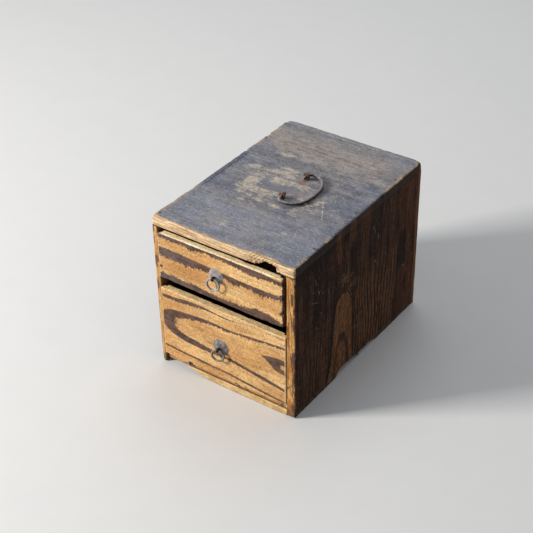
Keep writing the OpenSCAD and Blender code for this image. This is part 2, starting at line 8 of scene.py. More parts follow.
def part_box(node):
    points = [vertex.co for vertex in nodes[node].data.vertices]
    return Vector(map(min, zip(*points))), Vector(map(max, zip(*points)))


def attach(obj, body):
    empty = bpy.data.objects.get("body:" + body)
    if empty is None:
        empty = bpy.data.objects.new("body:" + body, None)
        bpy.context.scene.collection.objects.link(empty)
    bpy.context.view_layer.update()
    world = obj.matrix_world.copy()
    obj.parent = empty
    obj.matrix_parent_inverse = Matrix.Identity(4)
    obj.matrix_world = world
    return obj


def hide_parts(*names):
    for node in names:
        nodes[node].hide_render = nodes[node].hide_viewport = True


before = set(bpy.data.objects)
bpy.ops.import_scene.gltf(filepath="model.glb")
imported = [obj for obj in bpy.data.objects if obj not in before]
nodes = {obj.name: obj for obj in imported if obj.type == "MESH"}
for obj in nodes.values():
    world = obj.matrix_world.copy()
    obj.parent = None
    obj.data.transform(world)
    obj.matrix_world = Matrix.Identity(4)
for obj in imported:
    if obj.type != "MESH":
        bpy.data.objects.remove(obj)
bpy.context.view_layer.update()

# Bottom board
# A flat pine board between the two sides, nailed through them from outside. Its front edge is
# pale and scuffed, and its front left corner has broken away.

MM = 0.001
EDGE_RINGS = (0.35, 0.9, 1.7, 3.0)


def cuts_across(low, high, cell):
    """Places to cut a board between two faces: close rings at its edges, even cells between."""
    near = [r for r in EDGE_RINGS if r < (high - low) * 0.45]
    places = {round(low + r, 3) for r in near} | {round(high - r, 3) for r in near}
    inner_low, inner_high = low + near[-1], high - near[-1]
    count = max(1, round((inner_high - inner_low) / cell))
    places |= {round(inner_low + (inner_high - inner_low) * i / count, 3) for i in range(1, count)}
    return sorted(places)


def worn_radius(point, usual, bite, seed):
    """Radius that wear has left on an arris here: a slow wander, with a deeper bite now and then."""
    slow = noise.noise(point * 0.045 + Vector((seed, 0, 0)))
    quick = noise.noise(point * 0.19 + Vector((0, seed, 7.0)))
    return usual * (1 + 0.55 * slow) + bite * max(0.0, quick) ** 2


def evenly_worn(usual, bite, seed):
    """A radius for board() that is the same on all three axes."""
    def radius(point):
        return (worn_radius(point, usual, bite, seed),) * 3
    return radius


def smooth_step(value, low, high):
    """0 below low, 1 above high, and a soft rise between; high may be the smaller one."""
    share = min(1.0, max(0.0, (value - low) / (high - low)))
    return share * share * (3 - 2 * share)


def along(points, place):
    """Height at a place of a line drawn through a few points."""
    if place <= points[0][0]:
        return points[0][1]
    for (x0, y0), (x1, y1) in zip(points, points[1:]):
        if place <= x1:
            return y0 + (y1 - y0) * (place - x0) / (x1 - x0)
    return points[-1][1]


def board(name, node, body, cells, radius, carve=None, relief=None, extra=((), (), ())):
    """A worn board in the place of a CAD node: a cube cut into cells, its arrises rounded by
    radius(point), then carved, and sunk along its normals by relief(point, normal), all in mm."""
    low, high = (Vector(corner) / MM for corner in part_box(node))
    size = high - low
    place = Matrix.Translation((low + high) / 2) @ Matrix.Diagonal((*size, 1))
    mesh = bmesh.new()
    bmesh.ops.create_cube(mesh, size=1, matrix=place)
    for axis in range(3):
        normal = Vector([axis == i for i in range(3)])
        places = set(cuts_across(low[axis], high[axis], cells[axis]))
        places |= {p for p in extra[axis] if low[axis] + 0.01 < p < high[axis] - 0.01}
        for cut in sorted(places):
            bmesh.ops.bisect_plane(mesh, geom=mesh.verts[:] + mesh.edges[:] + mesh.faces[:],
                                   plane_co=normal * cut, plane_no=normal)
    for vert in mesh.verts:
        r = Vector([min(a, s * 0.45) for a, s in zip(radius(vert.co), size)])
        core = Vector([min(max(c, a + k), b - k) for c, a, b, k in zip(vert.co, low, high, r)])
        off = Vector([(c - q) / k for c, q, k in zip(vert.co, core, r)])
        reach = max(abs(c) for c in off)
        if reach > 0:
            vert.co = core + Vector([c * k for c, k in zip(off * (reach / off.length), r)])
        if carve:
            vert.co = carve(vert.co.copy())
    if relief:
        mesh.normal_update()
        for vert in mesh.verts:
            vert.co -= vert.normal * relief(vert.co, vert.normal)
    bmesh.ops.transform(mesh, matrix=Matrix.Scale(MM, 4), verts=mesh.verts)
    return finished(name, mesh, body, node)


def finished(name, mesh, body, *replaced):
    """Makes the object of a bmesh, smooth shaded, riding on its body in the place of CAD nodes."""
    for face in mesh.faces:
        face.smooth = True
    data = bpy.data.meshes.new(name)
    mesh.to_mesh(data)
    mesh.free()
    piece = bpy.data.objects.new(name, data)
    bpy.context.scene.collection.objects.link(piece)
    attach(piece, body)
    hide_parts(*replaced)
    return piece


def dye(red, green, blue):
    """A colour given in the 0 to 255 values of a screen."""
    channels = [c / 255 for c in (red, green, blue)]
    return (*[c / 12.92 if c <= 0.04045 else ((c + 0.055) / 1.055) ** 2.4 for c in channels], 1.0)


class Reading:
    """A value that changes over a surface. Sums and products of readings add Math nodes."""

    def __init__(self, finish, node, socket):
        self.finish, self.node, self.socket = finish, node, socket

    def maths(self, operation, *values):
        return self.finish.add("Math", {"operation": operation}, dict(enumerate(values)))

    def __add__(self, other):
        return self.maths("ADD", self, other)

    def __mul__(self, other):
        return self.maths("MULTIPLY", self, other)

    __radd__, __rmul__ = __add__, __mul__

    def __sub__(self, other):
        return self.maths("SUBTRACT", self, other)

    def __rsub__(self, other):
        return self.maths("SUBTRACT", other, self)

    def __truediv__(self, other):
        return self.maths("DIVIDE", self, other)

    def __rtruediv__(self, other):
        return self.maths("DIVIDE", other, self)

    def __pow__(self, other):
        return self.maths("POWER", self, other)

    def __abs__(self):
        return self.maths("ABSOLUTE", self)

    def least(self, other):
        return self.maths("MINIMUM", self, other)

    def most(self, other):
        return self.maths("MAXIMUM", self, other)

    def wave(self):
        return self.maths("SINE", self)

    def about(self, amount):
        """A noise of 0 to 1 as a swing about 0, amount from end to end."""
        return self.maths("MULTIPLY_ADD", self, amount, -amount / 2)

    def rise(self, low, high):
        """0 below low, 1 above high; with high below low it falls instead."""
        return self.finish.add("MapRange", {"interpolation_type": "SMOOTHSTEP"},
                               {"Value": self, "From Min": low, "From Max": high})

    def within(self, low, high, soft):
        """1 between low and high, 0 outside, with soft edges. The limits may be readings."""
        return (self - low).rise(-soft, soft) * (self - high).rise(soft, -soft)


class Finish:
    """A node material. mm is the place on the object in millimetres, and x, y and z its parts."""

    def __init__(self, name):
        self.material = bpy.data.materials.new(name)
        self.material.use_nodes = True
        self.tree = self.material.node_tree
        self.tree.nodes.clear()
        place = self.add("TexCoord", out="Object")
        self.mm = self.add("VectorMath", {"operation": "SCALE"}, {"Vector": place, "Scale": 1 / MM})
        parts = self.add("SeparateXYZ", sockets={"Vector": self.mm})
        self.x, self.y, self.z = (Reading(self, parts.node, s) for s in parts.node.outputs)
        self.colour = None

    def add(self, kind, settings=None, sockets=None, out=0):
        """Adds a node: its settings first, then the values or links of its sockets."""
        node = self.tree.nodes.new("ShaderNode" + kind)
        for key, value in (settings or {}).items():
            if key == "points":
                curve = node.mapping.curves[0]
                for i, point in enumerate(value):
                    spot = curve.points[i] if i < 2 else curve.points.new(*point)
                    spot.location = point
                node.mapping.update()
            else:
                setattr(node, key, value)
        for key, value in (sockets or {}).items():
            if isinstance(value, Reading):
                self.tree.links.new(value.socket, node.inputs[key])
            else:
                node.inputs[key].default_value = value
        return Reading(self, node, node.outputs[out] if node.outputs else None)

    def cloud(self, sizes, detail, rough, seed):
        """Noise about 0.5 whose features are as many mm along x, y and z as sizes says."""
        scaled = self.add("VectorMath", {"operation": "MULTIPLY_ADD"},
                          {0: self.mm, 1: [1 / s for s in sizes], 2: (seed, seed * 1.7, seed * 0.6)})
        return self.add("TexNoise", None,
                        {"Vector": scaled, "Scale": 1.0, "Detail": detail, "Roughness": rough})

    def mix(self, share, first, second):
        """First colour where share is 0, second where it is 1."""
        return self.add("Mix", {"data_type": "RGBA"}, {0: share, 6: first, 7: second}, out=2)

    def shaded(self, colour, amount):
        """A colour made lighter or darker by an amount about 1."""
        grey = self.add("CombineColor", None, {"Red": amount, "Green": amount, "Blue": amount})
        return self.add("Mix", {"data_type": "RGBA", "blend_type": "MULTIPLY"},
                        {0: 1.0, 6: colour, 7: grey}, out=2)

    def paint(self, share, colour):
        """Lays a colour over what the finish has so far."""
        self.colour = self.mix(share, self.colour, colour)

    def shade(self, amount):
        """Makes what the finish has so far lighter or darker by an amount about 1."""
        self.colour = self.shaded(self.colour, amount)

    def trace(self, place, points):
        """Height at a place of a smooth line drawn through a few points, in mm."""
        starts, heights = [p[0] for p in points], [p[1] for p in points]
        base, span = min(heights), max(max(heights) - min(heights), 0.001)
        length = starts[-1] - starts[0]
        shares = [((s - starts[0]) / length, (h - base) / span) for s, h in points]
        drawn = self.add("FloatCurve", {"points": shares}, {"Value": (place - starts[0]) / length})
        return drawn * span + base

    def strokes(self, across, up, marks, waver):
        """1 on straight strokes, each given by its two ends and its half width, bent by waver."""
        drawn = None
        for start_a, start_b, end_a, end_b, width in marks:
            length = math.hypot(end_a - start_a, end_b - start_b)
            go_a, go_b = (end_a - start_a) / length, (end_b - start_b) / length
            run = (across - start_a) * go_a + (up - start_b) * go_b
            off = abs((across - start_a) * go_b - (up - start_b) * go_a + waver)
            line = off.rise(width, width * 0.25) * run.within(0, length, min(2.0, length / 3))
            drawn = line if drawn is None else drawn.most(line)
        return drawn

    def hairlines(self, across, up, lean, seed):
        """Fine scratches some mm long, all leaning the same number of degrees to the right."""
        go_a, go_b = math.sin(math.radians(lean)), math.cos(math.radians(lean))
        run, off = across * go_a + up * go_b, across * go_b - up * go_a
        place = self.add("CombineXYZ", None, {"X": run / 15, "Y": off / 0.7, "Z": seed})
        lines = self.add("TexNoise", None, {"Vector": place, "Scale": 1.0, "Detail": 1.0})
        return lines.rise(0.63, 0.72)

    def patches(self, across, up, places):
        """A hill over each patch, given by its middle, half sizes and height; half at its rim."""
        hills = None
        for middle_a, middle_b, half_a, half_b, height in places:
            far = ((across - middle_a) / half_a) ** 2 + ((up - middle_b) / half_b) ** 2
            hill = (1 - far * 0.5) * height
            hills = hill if hills is None else hills.most(hill)
        return hills

    def turned_to(self, way):
        """How far the surface turns to a direction of the object: 1 facing it, -1 facing away."""
        normal = self.add("TexCoord", out="Normal")
        return self.add("VectorMath", {"operation": "DOT_PRODUCT"}, {0: normal, 1: way}, out=1)

    def surface(self, roughness, height, metallic=0.0, gloss=0.3):
        """Ends the material with the colour painted so far, a roughness and a relief in mm."""
        bump = self.add("Bump", None, {"Height": height, "Distance": MM, "Strength": 1.0})
        shader = self.add("BsdfPrincipled", None, {
            "Base Color": self.colour, "Roughness": roughness, "Metallic": metallic,
            "Specular IOR Level": gloss, "Normal": bump})
        self.add("OutputMaterial", None, {"Surface": shader})

    def wear_on(self, piece):
        """Gives a piece this material and no other."""
        piece.data.materials.clear()
        piece.data.materials.append(self.material)


def growth_lines(finish, across, wander, gap, seed):
    """Late-wood lines gap mm apart across a board, wandering with its grain: 1 on a line."""
    bend = finish.cloud(wander, 1.0, 0.5, seed)
    return ((across / gap + bend * 4.0) * (2 * math.pi)).wave().rise(0.1, 0.95)


def raw_wood(finish, across, grain, gap, pale, dark, seed):
    """Colour and relief of bare old pine. grain holds the lengths of its fibres in mm."""
    wander = [max(26.0, g * 3.2) for g in grain]
    lines = growth_lines(finish, across, wander, gap, seed)
    fibre = finish.cloud(grain, 3.0, 0.62, seed + 3)
    blotch = finish.cloud((22, 22, 22), 4.0, 0.6, seed + 5)
    colour = finish.mix(lines * (0.25 + blotch * 0.5), pale, dark)
    colour = finish.shaded(colour, 0.5 + fibre * 0.5 + blotch * 0.5)
    return colour, fibre * 0.22 + lines * 0.1


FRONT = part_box("right_side")[0].y / MM
bottom_low, bottom_high = (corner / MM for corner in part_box("bottom_board"))
BROKEN_WIDTH, BROKEN_DEPTH, BROKEN_FADE, TIP_LIFT = 27, 15, 40, 5.6
BROKEN_EDGE = [(0, 0.86), (0.3, 1), (0.7, 0.84), (0.9, 0.34), (1, 0)]
TIP_CUTS = (0.8, 0.9, 0.97, 1.04, 1.1, 1.2, 1.32, 1.45, 1.6, 1.75, 1.9)


def broken_corner(point):
    """Pushes the front edge back where the left corner has broken away, and thins its tip."""
    share = (point.x - bottom_low.x) / BROKEN_WIDTH
    depth = BROKEN_DEPTH * along(BROKEN_EDGE, share)
    depth += 0.8 * noise.noise(point * 0.5) * (depth > 0.1)
    point.y += depth * max(0.0, 1 - (point.y - bottom_low.y) / BROKEN_FADE)
    tip = smooth_step(share, 1.95, 0.9) * smooth_step(point.y, bottom_low.y + 26, bottom_low.y + 14)
    point.z += TIP_LIFT * tip * (bottom_high.z - point.z) / (bottom_high.z - bottom_low.z)
    return point


tip_cuts = [bottom_low.x + BROKEN_WIDTH * share for share in TIP_CUTS]
bottom_board = board(
    "bottom_board_worn", "bottom_board", "case", (3, 6, 3), evenly_worn(0.45, 0.9, 3.0),
    broken_corner, extra=(tip_cuts, (), ()))

old_pine = Finish("old_pine")
old_pine.colour, floor_relief = raw_wood(
    old_pine, old_pine.x, (0.8, 55, 0.8), 9.0, dye(96, 71, 49), dye(68, 50, 36), 2.0)
scuffs = old_pine.cloud((9, 5, 2.2), 4.0, 0.65, 4.0)
edge_colour = old_pine.mix(scuffs.rise(0.42, 0.62), dye(230, 194, 136), dye(196, 156, 104))
edge_colour = old_pine.shaded(edge_colour, 0.4 + old_pine.cloud((9, 2, 0.8), 4.0, 0.7, 9.0) * 1.2)
edge_colour = old_pine.mix(
    old_pine.cloud((7, 4, 0.9), 3.0, 0.6, 8.0).rise(0.6, 0.68) * 0.6, edge_colour, dye(124, 98, 74))
at_front = (old_pine.y + old_pine.cloud((8, 8, 3), 2.0, 0.5, 6.0)).rise(FRONT + 1.9, FRONT + 0.7)
below = (old_pine.z + scuffs).rise(2.0, 0.7)
old_pine.paint(below * 0.8, dye(86, 70, 58))
edge_colour = old_pine.mix(below * 0.5, edge_colour, dye(104, 84, 66))
old_pine.paint(at_front, edge_colour)
old_pine.surface(0.74 + scuffs * 0.14, floor_relief + scuffs * 0.3)
old_pine.wear_on(bottom_board)

# Side boards
# Two upright boards, the right one twice as thick. Their faces are stained nearly black, and
# their front edges are rubbed back to the honey wood. A hollow is worn along the right foot.

RIGHT_HOLLOW_START, RIGHT_HOLLOW_LENGTH, RIGHT_HOLLOW_HEIGHT = 68, 72, 6.5
HOLLOW_EDGE = [(0, 0), (0.06, 0.7), (0.16, 1), (0.33, 0.94), (0.5, 0.66), (0.85, 0.6), (0.96, 0.3), (1, 0)]
HOLLOW_CUTS = (0.01, 0.03, 0.06, 0.96, 0.99)
# The board above the hollow is lifted with it, less and less up to this height
HOLLOW_FADE = 26
# How far the left board and the lid stand out at the top of the front, and how far back and how
# far across the lid that fades
LEFT_LEAN, LEAN_LENGTH, LID_LEAN_WIDTH = 1.3, 70, 60
# Lines of grain on the rubbed front edges: how far apart they are, and their lean
EDGE_LINE_GAP, EDGE_SLANT = 3.1, 0.022


def foot_hollow(point):
    """Lifts the foot of the right side where it has worn hollow, and roughens its rim."""
    share = (point.y - FRONT - RIGHT_HOLLOW_START) / RIGHT_HOLLOW_LENGTH
    if 0 < share < 1:
        lift = RIGHT_HOLLOW_HEIGHT * along(HOLLOW_EDGE, share) + 0.7 * noise.noise(point * 0.4)
        point.z += max(0.0, lift) * max(0.0, 1 - point.z / HOLLOW_FADE)
    return point


def lean_at(point):
    """How far the left edge leans out this far from the front."""
    return LEFT_LEAN * smooth_step(point.y, FRONT + LEAN_LENGTH, FRONT)


def left_lean(point):
    """Leans the outer face of the left side out, towards the top of its front edge."""
    outer = smooth_step(point.x, left_high.x, left_low.x)
    point.x -= lean_at(point) * outer * point.z / left_high.z
    return point


def side_radius(point):
    usual = worn_radius(point, 0.5, 1.5, 11.0)
    foot = 1.4 * smooth_step(point.z, 14, 2)
    return usual, usual + foot, usual + foot


def side_relief(point, normal):
    """Upright ridges of late wood, and dents, on the faces of a side board."""
    ridge = noise.noise(Vector((point.y * 0.42, point.z * 0.014, 3.0)))
    dent = max(0.0, noise.noise(point * 0.06) - 0.25)
    return abs(normal.x) * (0.12 + 0.13 * ridge + 0.5 * dent)


left_low, left_high = (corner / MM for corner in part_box("left_side"))
lid_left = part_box("top_board")[0].x / MM
right_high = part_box("right_side")[1] / MM
hollow_cuts = [FRONT + RIGHT_HOLLOW_START + RIGHT_HOLLOW_LENGTH * share for share in HOLLOW_CUTS]
left_side = board(
    "left_side_worn", "left_side", "case", (2, 1.6, 9), side_radius, left_lean, side_relief)
right_side = board(
    "right_side_worn", "right_side", "case", (2, 1.6, 5), side_radius, foot_hollow, side_relief,
    extra=((), hollow_cuts, ()))


def stained(side, seed, ridged):
    """Colour and relief of stain over upright grain, as on the outer face of a side."""
    ribs = side.cloud((1.3, 1.1, 70), 3.0, 0.62, seed)
    broad = side.cloud((9, 8, 120), 2.0, 0.5, seed + 2)
    blotch = side.cloud((12, 12, 18), 4.0, 0.62, seed + 4)
    grit = side.cloud((1.2, 1.4, 3.0), 3.0, 0.6, seed + 5)
    colour = side.mix(broad.rise(0.38, 0.62), dye(48, 34, 29), dye(78, 53, 39))
    colour = side.mix(ribs.rise(0.5, 0.6) * ridged, colour, dye(22, 17, 16))
    colour = side.mix(ribs.rise(0.47, 0.36) * ridged * 0.7, colour, dye(104, 72, 50))
    colour = side.shaded(colour, -0.5 + blotch * 1.6 + grit * 1.4)
    return colour, ribs * 0.6 + blotch * 0.2 + grit * 0.2


def soot_and_rust(finish, colour, top, seed):
    """Soot along the top of an outer side, with orange-brown streaks where water has run down."""
    back = finish.y - FRONT
    fringe = finish.cloud((9, 2.4, 22), 3.0, 0.6, seed)
    sooty = (finish.z + fringe.about(34)).rise(top - 12, top - 2)
    colour = finish.mix(sooty * back.rise(134, 96) * 0.5, colour, dye(28, 24, 24))
    run = finish.z + fringe.about(40)
    streak = back.within(66.5, 73.5, 1.6) * run.rise(top - 24, top - 17)
    streak = streak.most(back.within(87, 98, 2.6) * run.rise(top - 19, top - 10) * 0.8)
    streak = streak.most(back.within(104, 124, 5) * run.rise(top - 12, top - 4) * 0.45)
    broken = finish.cloud((2.4, 1.6, 7), 4.0, 0.65, seed + 2).rise(0.36, 0.58)
    return finish.mix(streak * broken * 0.75, colour, dye(126, 82, 50))


def finish_side(side, relief, outer_x, seed, tones, marks=()):
    """Adds the front edge, the foot and the inner face to a stained side, and ends it."""
    depth = abs(side.x - outer_x)
    rag = side.cloud((4, 4, 14), 3.0, 0.6, seed + 7)
    inner, inner_relief = raw_wood(
        side, side.y, (0.8, 0.8, 60), 8.0, dye(150, 112, 76), dye(100, 72, 50), seed + 9)
    side.paint(depth.rise(1.2, 2.0), inner)

    # The rubbed front edge: honey wood with slanting lines of grain, knots and marks
    bend = side.cloud((20, 20, 46), 2.0, 0.55, seed + 1)
    slant = side.x + side.z * EDGE_SLANT + bend.about(13)
    lines = (slant * (2 * math.pi / EDGE_LINE_GAP)).wave().rise(0.55, 1.0)
    lines = lines * side.cloud((3, 9, 26), 3.0, 0.6, seed + 3).rise(0.42, 0.6)
    thread = side.cloud((0.5, 0.5, 30), 3.0, 0.6, seed + 6)
    grain = side.cloud((1.1, 1.1, 2.4), 3.0, 0.65, seed + 8)
    honey = side.mix(side.cloud((9, 9, 24), 3.0, 0.55, seed + 12).rise(0.38, 0.62), *tones)
    honey = side.mix(lines * 0.6, honey, dye(104, 68, 46))
    honey = side.mix(thread.rise(0.54, 0.66) * 0.5, honey, dye(132, 88, 52))
    honey = side.shaded(honey, 0.3 + grain * 1.4)
    if marks:
        bent = side.cloud((4, 4, 9), 3.0, 0.6, seed + 14)
        drawn = side.strokes(side.x - lid_left, side.z, marks, bent.about(1.2))
        honey = side.mix(drawn * 0.85, honey, dye(84, 52, 38))
    near_face = (1.2 - depth * 0.3).most(0) * 0.12
    knots = (side.cloud((5, 5, 13), 3.0, 0.6, seed + 15) + near_face).rise(0.6, 0.7)
    honey = side.mix(knots * 0.85, honey, dye(98, 74, 68))
    at_front = (side.y - FRONT + rag.about(2.6)).rise(1.6, 0.7)
    side.paint(at_front, honey)
    upright = side.cloud((1.2, 1.1, 30), 3.0, 0.6, seed + 17)
    beside_front = (side.y - FRONT + rag.about(9)).rise(8, 2) * upright.rise(0.5, 0.64)
    side.paint(beside_front * (1 - at_front) * 0.45, dye(128, 92, 62))

    # The dusty foot, and the dark joint under the lid
    ragged_up = side.z + rag.about(12)
    foot = ragged_up.rise(8.5, 2.5).most(ragged_up.rise(17, 4) * at_front)
    dust = side.cloud((3, 3, 9), 4.0, 0.65, seed + 20)
    side.paint(foot * 0.6, side.mix(dust.rise(0.4, 0.6), dye(48, 40, 36), dye(112, 100, 88)))
    joint = (side.z + rag.about(0.8)).rise(left_high.z - 1.1, left_high.z - 0.3)
    side.paint(joint * (at_front * 0.6 + 0.2), dye(34, 25, 21))
    shine = side.cloud((6, 6, 40), 2.0, 0.5, seed + 13)
    relief = relief + inner_relief * depth.rise(1.2, 2.0) + thread * 0.2 + grain * 0.1 - knots * 0.2
    side.surface(0.6 + shine * 0.3, relief, gloss=0.08)


left_stain = Finish("stained_pine_left")
left_stain.colour, left_relief = stained(left_stain, 31.0, 0.5)
left_stain.colour = soot_and_rust(left_stain, left_stain.colour, left_high.z, 33.0)
finish_side(left_stain, left_relief, left_low.x, 31.0, (dye(192, 142, 87), dye(216, 172, 114)))
left_stain.wear_on(left_side)

# The right face: a pale tongue of grain rising from the foot, with a dark arch inside it.
TONGUE_LEFT = [(0, 52), (20, 57), (45, 61.5), (75, 64), (86, 68), (92, 76)]
TONGUE_RIGHT = [(0, 97), (20, 95.5), (45, 94.6), (75, 93), (86, 88.5), (92, 80)]
ARCH_LEFT = [(0, 63.5), (20, 66.5), (36, 69.5), (44, 72), (50, 76)]
ARCH_RIGHT = [(0, 88), (20, 86.8), (36, 84), (44, 81), (50, 77)]
right_stain = Finish("stained_pine_right")
right_stain.colour, right_relief = stained(right_stain, 5.0, 0.6)
back, up = right_stain.y - FRONT, right_stain.z
sway = right_stain.cloud((20, 6, 20), 4.0, 0.65, 3.0).about(7)
fine = right_stain.cloud((1.2, 1.0, 26), 4.0, 0.65, 17.0)
dapple = right_stain.cloud((3, 3, 5), 4.0, 0.65, 19.0)
grain_at = back + sway
tongue_left, tongue_right, arch_left, arch_right = (
    right_stain.trace(up, line) for line in (TONGUE_LEFT, TONGUE_RIGHT, ARCH_LEFT, ARCH_RIGHT))
below_tip = (up + sway).rise(93, 88)
tongue = grain_at.within(tongue_left, tongue_right, 1.3) * below_tip
tongue_rim = abs(grain_at - tongue_left + 1.2).rise(2.6, 0.8)
right_rim = abs(grain_at - tongue_right - 1.2).rise(2.0, 0.6) * up.rise(8, 24)
tongue_rim = tongue_rim.most(right_rim) * below_tip
arch = grain_at.within(arch_left, arch_right, 1.2) * up.rise(51, 47) * up.rise(35, 41)
arch_rim = abs(grain_at - arch_left).rise(2.3, 0.8) + abs(grain_at - arch_right).rise(2.6, 0.9)
arch = arch.most(arch_rim.least(1) * up.rise(50, 46))
tongue_tone = 0.25 + fine.rise(0.38, 0.62) * 0.35 + dapple.rise(0.38, 0.62) * 0.3
right_stain.paint(tongue * tongue_tone, dye(144, 98, 64))
right_stain.paint(tongue_rim * (dapple * 0.9 + 0.35).least(1), dye(26, 21, 20))
right_stain.paint(arch * (dapple * 0.8 + 0.3).least(1), dye(36, 27, 26))

# Ribs of grain behind the tongue and before it, and the crack towards the rear
furrows = growth_lines(right_stain, back, (200, 60, 90), 5.2, 15.0)
behind = grain_at.within(97, 172, 3) * (up + sway * 2).rise(112, 60)
behind_tone = fine.rise(0.42, 0.58) * 0.55 + dapple.rise(0.3, 0.7) * 0.28
right_stain.paint(behind * (1 - furrows) * behind_tone, dye(138, 96, 66))
right_stain.paint(behind * furrows * 0.65, dye(30, 23, 21))
before = grain_at.within(12, 54, 4) * (up + sway * 2).rise(86, 50) * (1 - furrows)
before_tone = fine.rise(0.44, 0.6) * 0.5 + dapple.rise(0.3, 0.7) * 0.15
right_stain.paint(before * before_tone, dye(116, 82, 60))
crack = abs(back - 174.5 - sway * 0.3).rise(1.9, 0.4) * up.rise(98, 84)
right_stain.paint(crack * 0.85, dye(20, 16, 15))
reddish = (back + sway * 0.5).rise(142, 190) * 0.45
right_stain.paint(reddish * fine.rise(0.4, 0.6), dye(124, 76, 50))
shadowy = back.within(176, 191, 3) * (up + sway).within(62, 101, 6)
right_stain.paint(shadowy * 0.8, dye(24, 19, 18))
dashes = right_stain.cloud((2, 4.5, 1.3), 3.0, 0.6, 21.0)
scuffed = right_stain.patches(back, up, [(82, 105, 12, 7, 1), (97, 93, 10, 3.5, 0.9)])
right_stain.paint((scuffed + dashes.about(5)).rise(0.75, 1.3) * 0.65, dye(138, 110, 84))

# Short pale scratches: from, to, half width, as back and up
SIDE_NICKS = [
    (32, 133, 34.5, 127, 0.8), (37, 119, 39, 114, 1.1), (43, 114, 45, 112, 0.9),
    (27, 111, 36, 107, 0.6), (40, 94, 43, 91, 0.9), (34, 81, 36, 78, 0.8),
    (131, 97, 134, 94, 1.2), (136, 124, 138, 117, 1.0), (128, 136, 132, 126, 0.5),
    (184, 62, 190, 58, 0.8), (52, 112, 55, 104, 0.5), (88, 91, 93, 80, 0.7)]
nicks = right_stain.strokes(back, up, SIDE_NICKS, dapple.about(2.4)) * dapple.rise(0.3, 0.5)
specks = right_stain.cloud((1.6, 1.8, 3.4), 2.0, 0.5, 25.0)
nicks = nicks.most(specks.rise(0.66, 0.76) * 0.7)
hairs = right_stain.hairlines(back, up, 128, 27.0).most(right_stain.hairlines(back, up, 160, 28.0))
nicks = nicks.most(hairs * dapple.rise(0.44, 0.6) * 0.55)
right_stain.paint(nicks * 0.75, dye(140, 118, 100))
right_stain.shade(-0.45 + fine * 1.6 + dapple * 1.3)
right_stain.colour = soot_and_rust(right_stain, right_stain.colour, right_high.z, 7.0)

# Dark lines and blotches of its front edge: from, to, half width, as across and up
RIGHT_EDGE_MARKS = [
    (142.4, 150, 142.1, 20, 0.5), (144.2, 150, 143.8, 41, 0.35), (144, 133, 148, 97, 0.5),
    (143.3, 90, 149.5, 41, 0.5), (142.6, 41, 149.8, 19, 0.5), (146, 118, 149.4, 96, 0.35),
    (147.8, 124, 147.6, 137, 2.4), (148.8, 64, 148.7, 73, 1.7), (149.2, 40, 149.2, 46, 1.1),
    (145.6, 92, 149, 66, 0.3), (149.4, 96, 149.2, 112, 0.6)]
right_relief = right_relief - tongue_rim * 0.2 - crack * 0.5 - nicks * 0.15
finish_side(right_stain, right_relief, right_high.x, 5.0,
            (dye(188, 126, 66), dye(224, 172, 106)), RIGHT_EDGE_MARKS)
right_stain.wear_on(right_side)

# Shelf between the drawers
# A plain board housed in both sides, on which the upper drawer runs. It is of the same old pine
# as the bottom board.

inner_wear = evenly_worn(0.45, 0.8, 17.0)
middle_shelf = board("middle_shelf_worn", "middle_shelf", "case", (12, 6, 3), inner_wear)
old_pine.wear_on(middle_shelf)

# Back board
# One board over the rear ends of the sides and the lid, nailed on. Its wood is redder, and its
# top edge has weathered grey with the lid.


def back_radius(point):
    r = worn_radius(point, 0.7, 3.6, 23.0)
    r += 2.4 * smooth_step(abs(point.x), 66, 74) * smooth_step(point.z, back_top - 9, back_top - 1)
    return r, r, r


def back_relief(point, normal):
    ridge = noise.noise(Vector((point.x * 0.35, point.z * 0.012, 9.0)))
    return abs(normal.y) * (0.12 + 0.12 * ridge)


back_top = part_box("back_board")[1].z / MM
back_board = board(
    "back_board_worn", "back_board", "case", (2.2, 2, 7), back_radius, relief=back_relief)

red_pine = Finish("red_pine")
red_streak = red_pine.cloud((1.2, 1.2, 60), 3.0, 0.62, 41.0)
red_broad = red_pine.cloud((10, 10, 120), 2.0, 0.5, 43.0)
red_lines = growth_lines(red_pine, red_pine.x, (44, 44, 260), 11.0, 45.0)
red_mottle = red_pine.cloud((12, 12, 20), 4.0, 0.6, 44.0)
red_pine.colour = red_pine.mix(red_broad.rise(0.36, 0.64), dye(58, 38, 29), dye(94, 62, 42))
red_pine.paint(red_lines * 0.6, dye(38, 27, 23))
red_pine.paint(red_streak.rise(0.55, 0.72) * 0.6, dye(34, 24, 21))
red_pine.shade(-0.2 + red_mottle * 1.4 + red_pine.cloud((1.6, 1.6, 5), 4.0, 0.65, 47.0))
outer_rim = abs(red_pine.x).rise(73.4, 74.8) * (red_streak.rise(0.36, 0.6) * 0.6 + 0.3)
red_pine.paint(outer_rim * red_pine.x.rise(0, 1), dye(132, 86, 56))
red_pine.surface(0.58 + red_mottle * 0.25, red_streak * 0.3 + red_lines * 0.15, gloss=0.2)
red_pine.wear_on(back_board)

# Lid
# A pine board over both sides, weathered blue-grey, with bare patches where things stood on it.
# Its front edge is rubbed round and pale, and a notch has been gnawed in it from below.

NOTCH_WIDTH, NOTCH_HEIGHT, NOTCH_DEPTH, NOTCH_FROM_RIGHT = 26.6, 6.4, 9, 17
NOTCH_EDGE = [
    (0, 0), (0.25, 0.22), (0.37, 0.56), (0.46, 0.88), (0.62, 1), (0.83, 0.9), (0.9, 0.66),
    (0.95, 0.3), (1, 0)]
CORNER_WEAR = 2.2
lid_low, lid_high = (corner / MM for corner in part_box("top_board"))
notch_left = lid_high.x - NOTCH_FROM_RIGHT - NOTCH_WIDTH
# Chips along the right (1) and left (-1) edges: distance from the front, and bite
LID_CHIPS = {1: [(53, 1.0), (158, 1.2), (185, 1.6), (198, 1.2)],
             -1: [(28, 0.7), (56, 1.0), (175, 1.5), (190, 0.9)]}
CHIP_LENGTH = 4.5


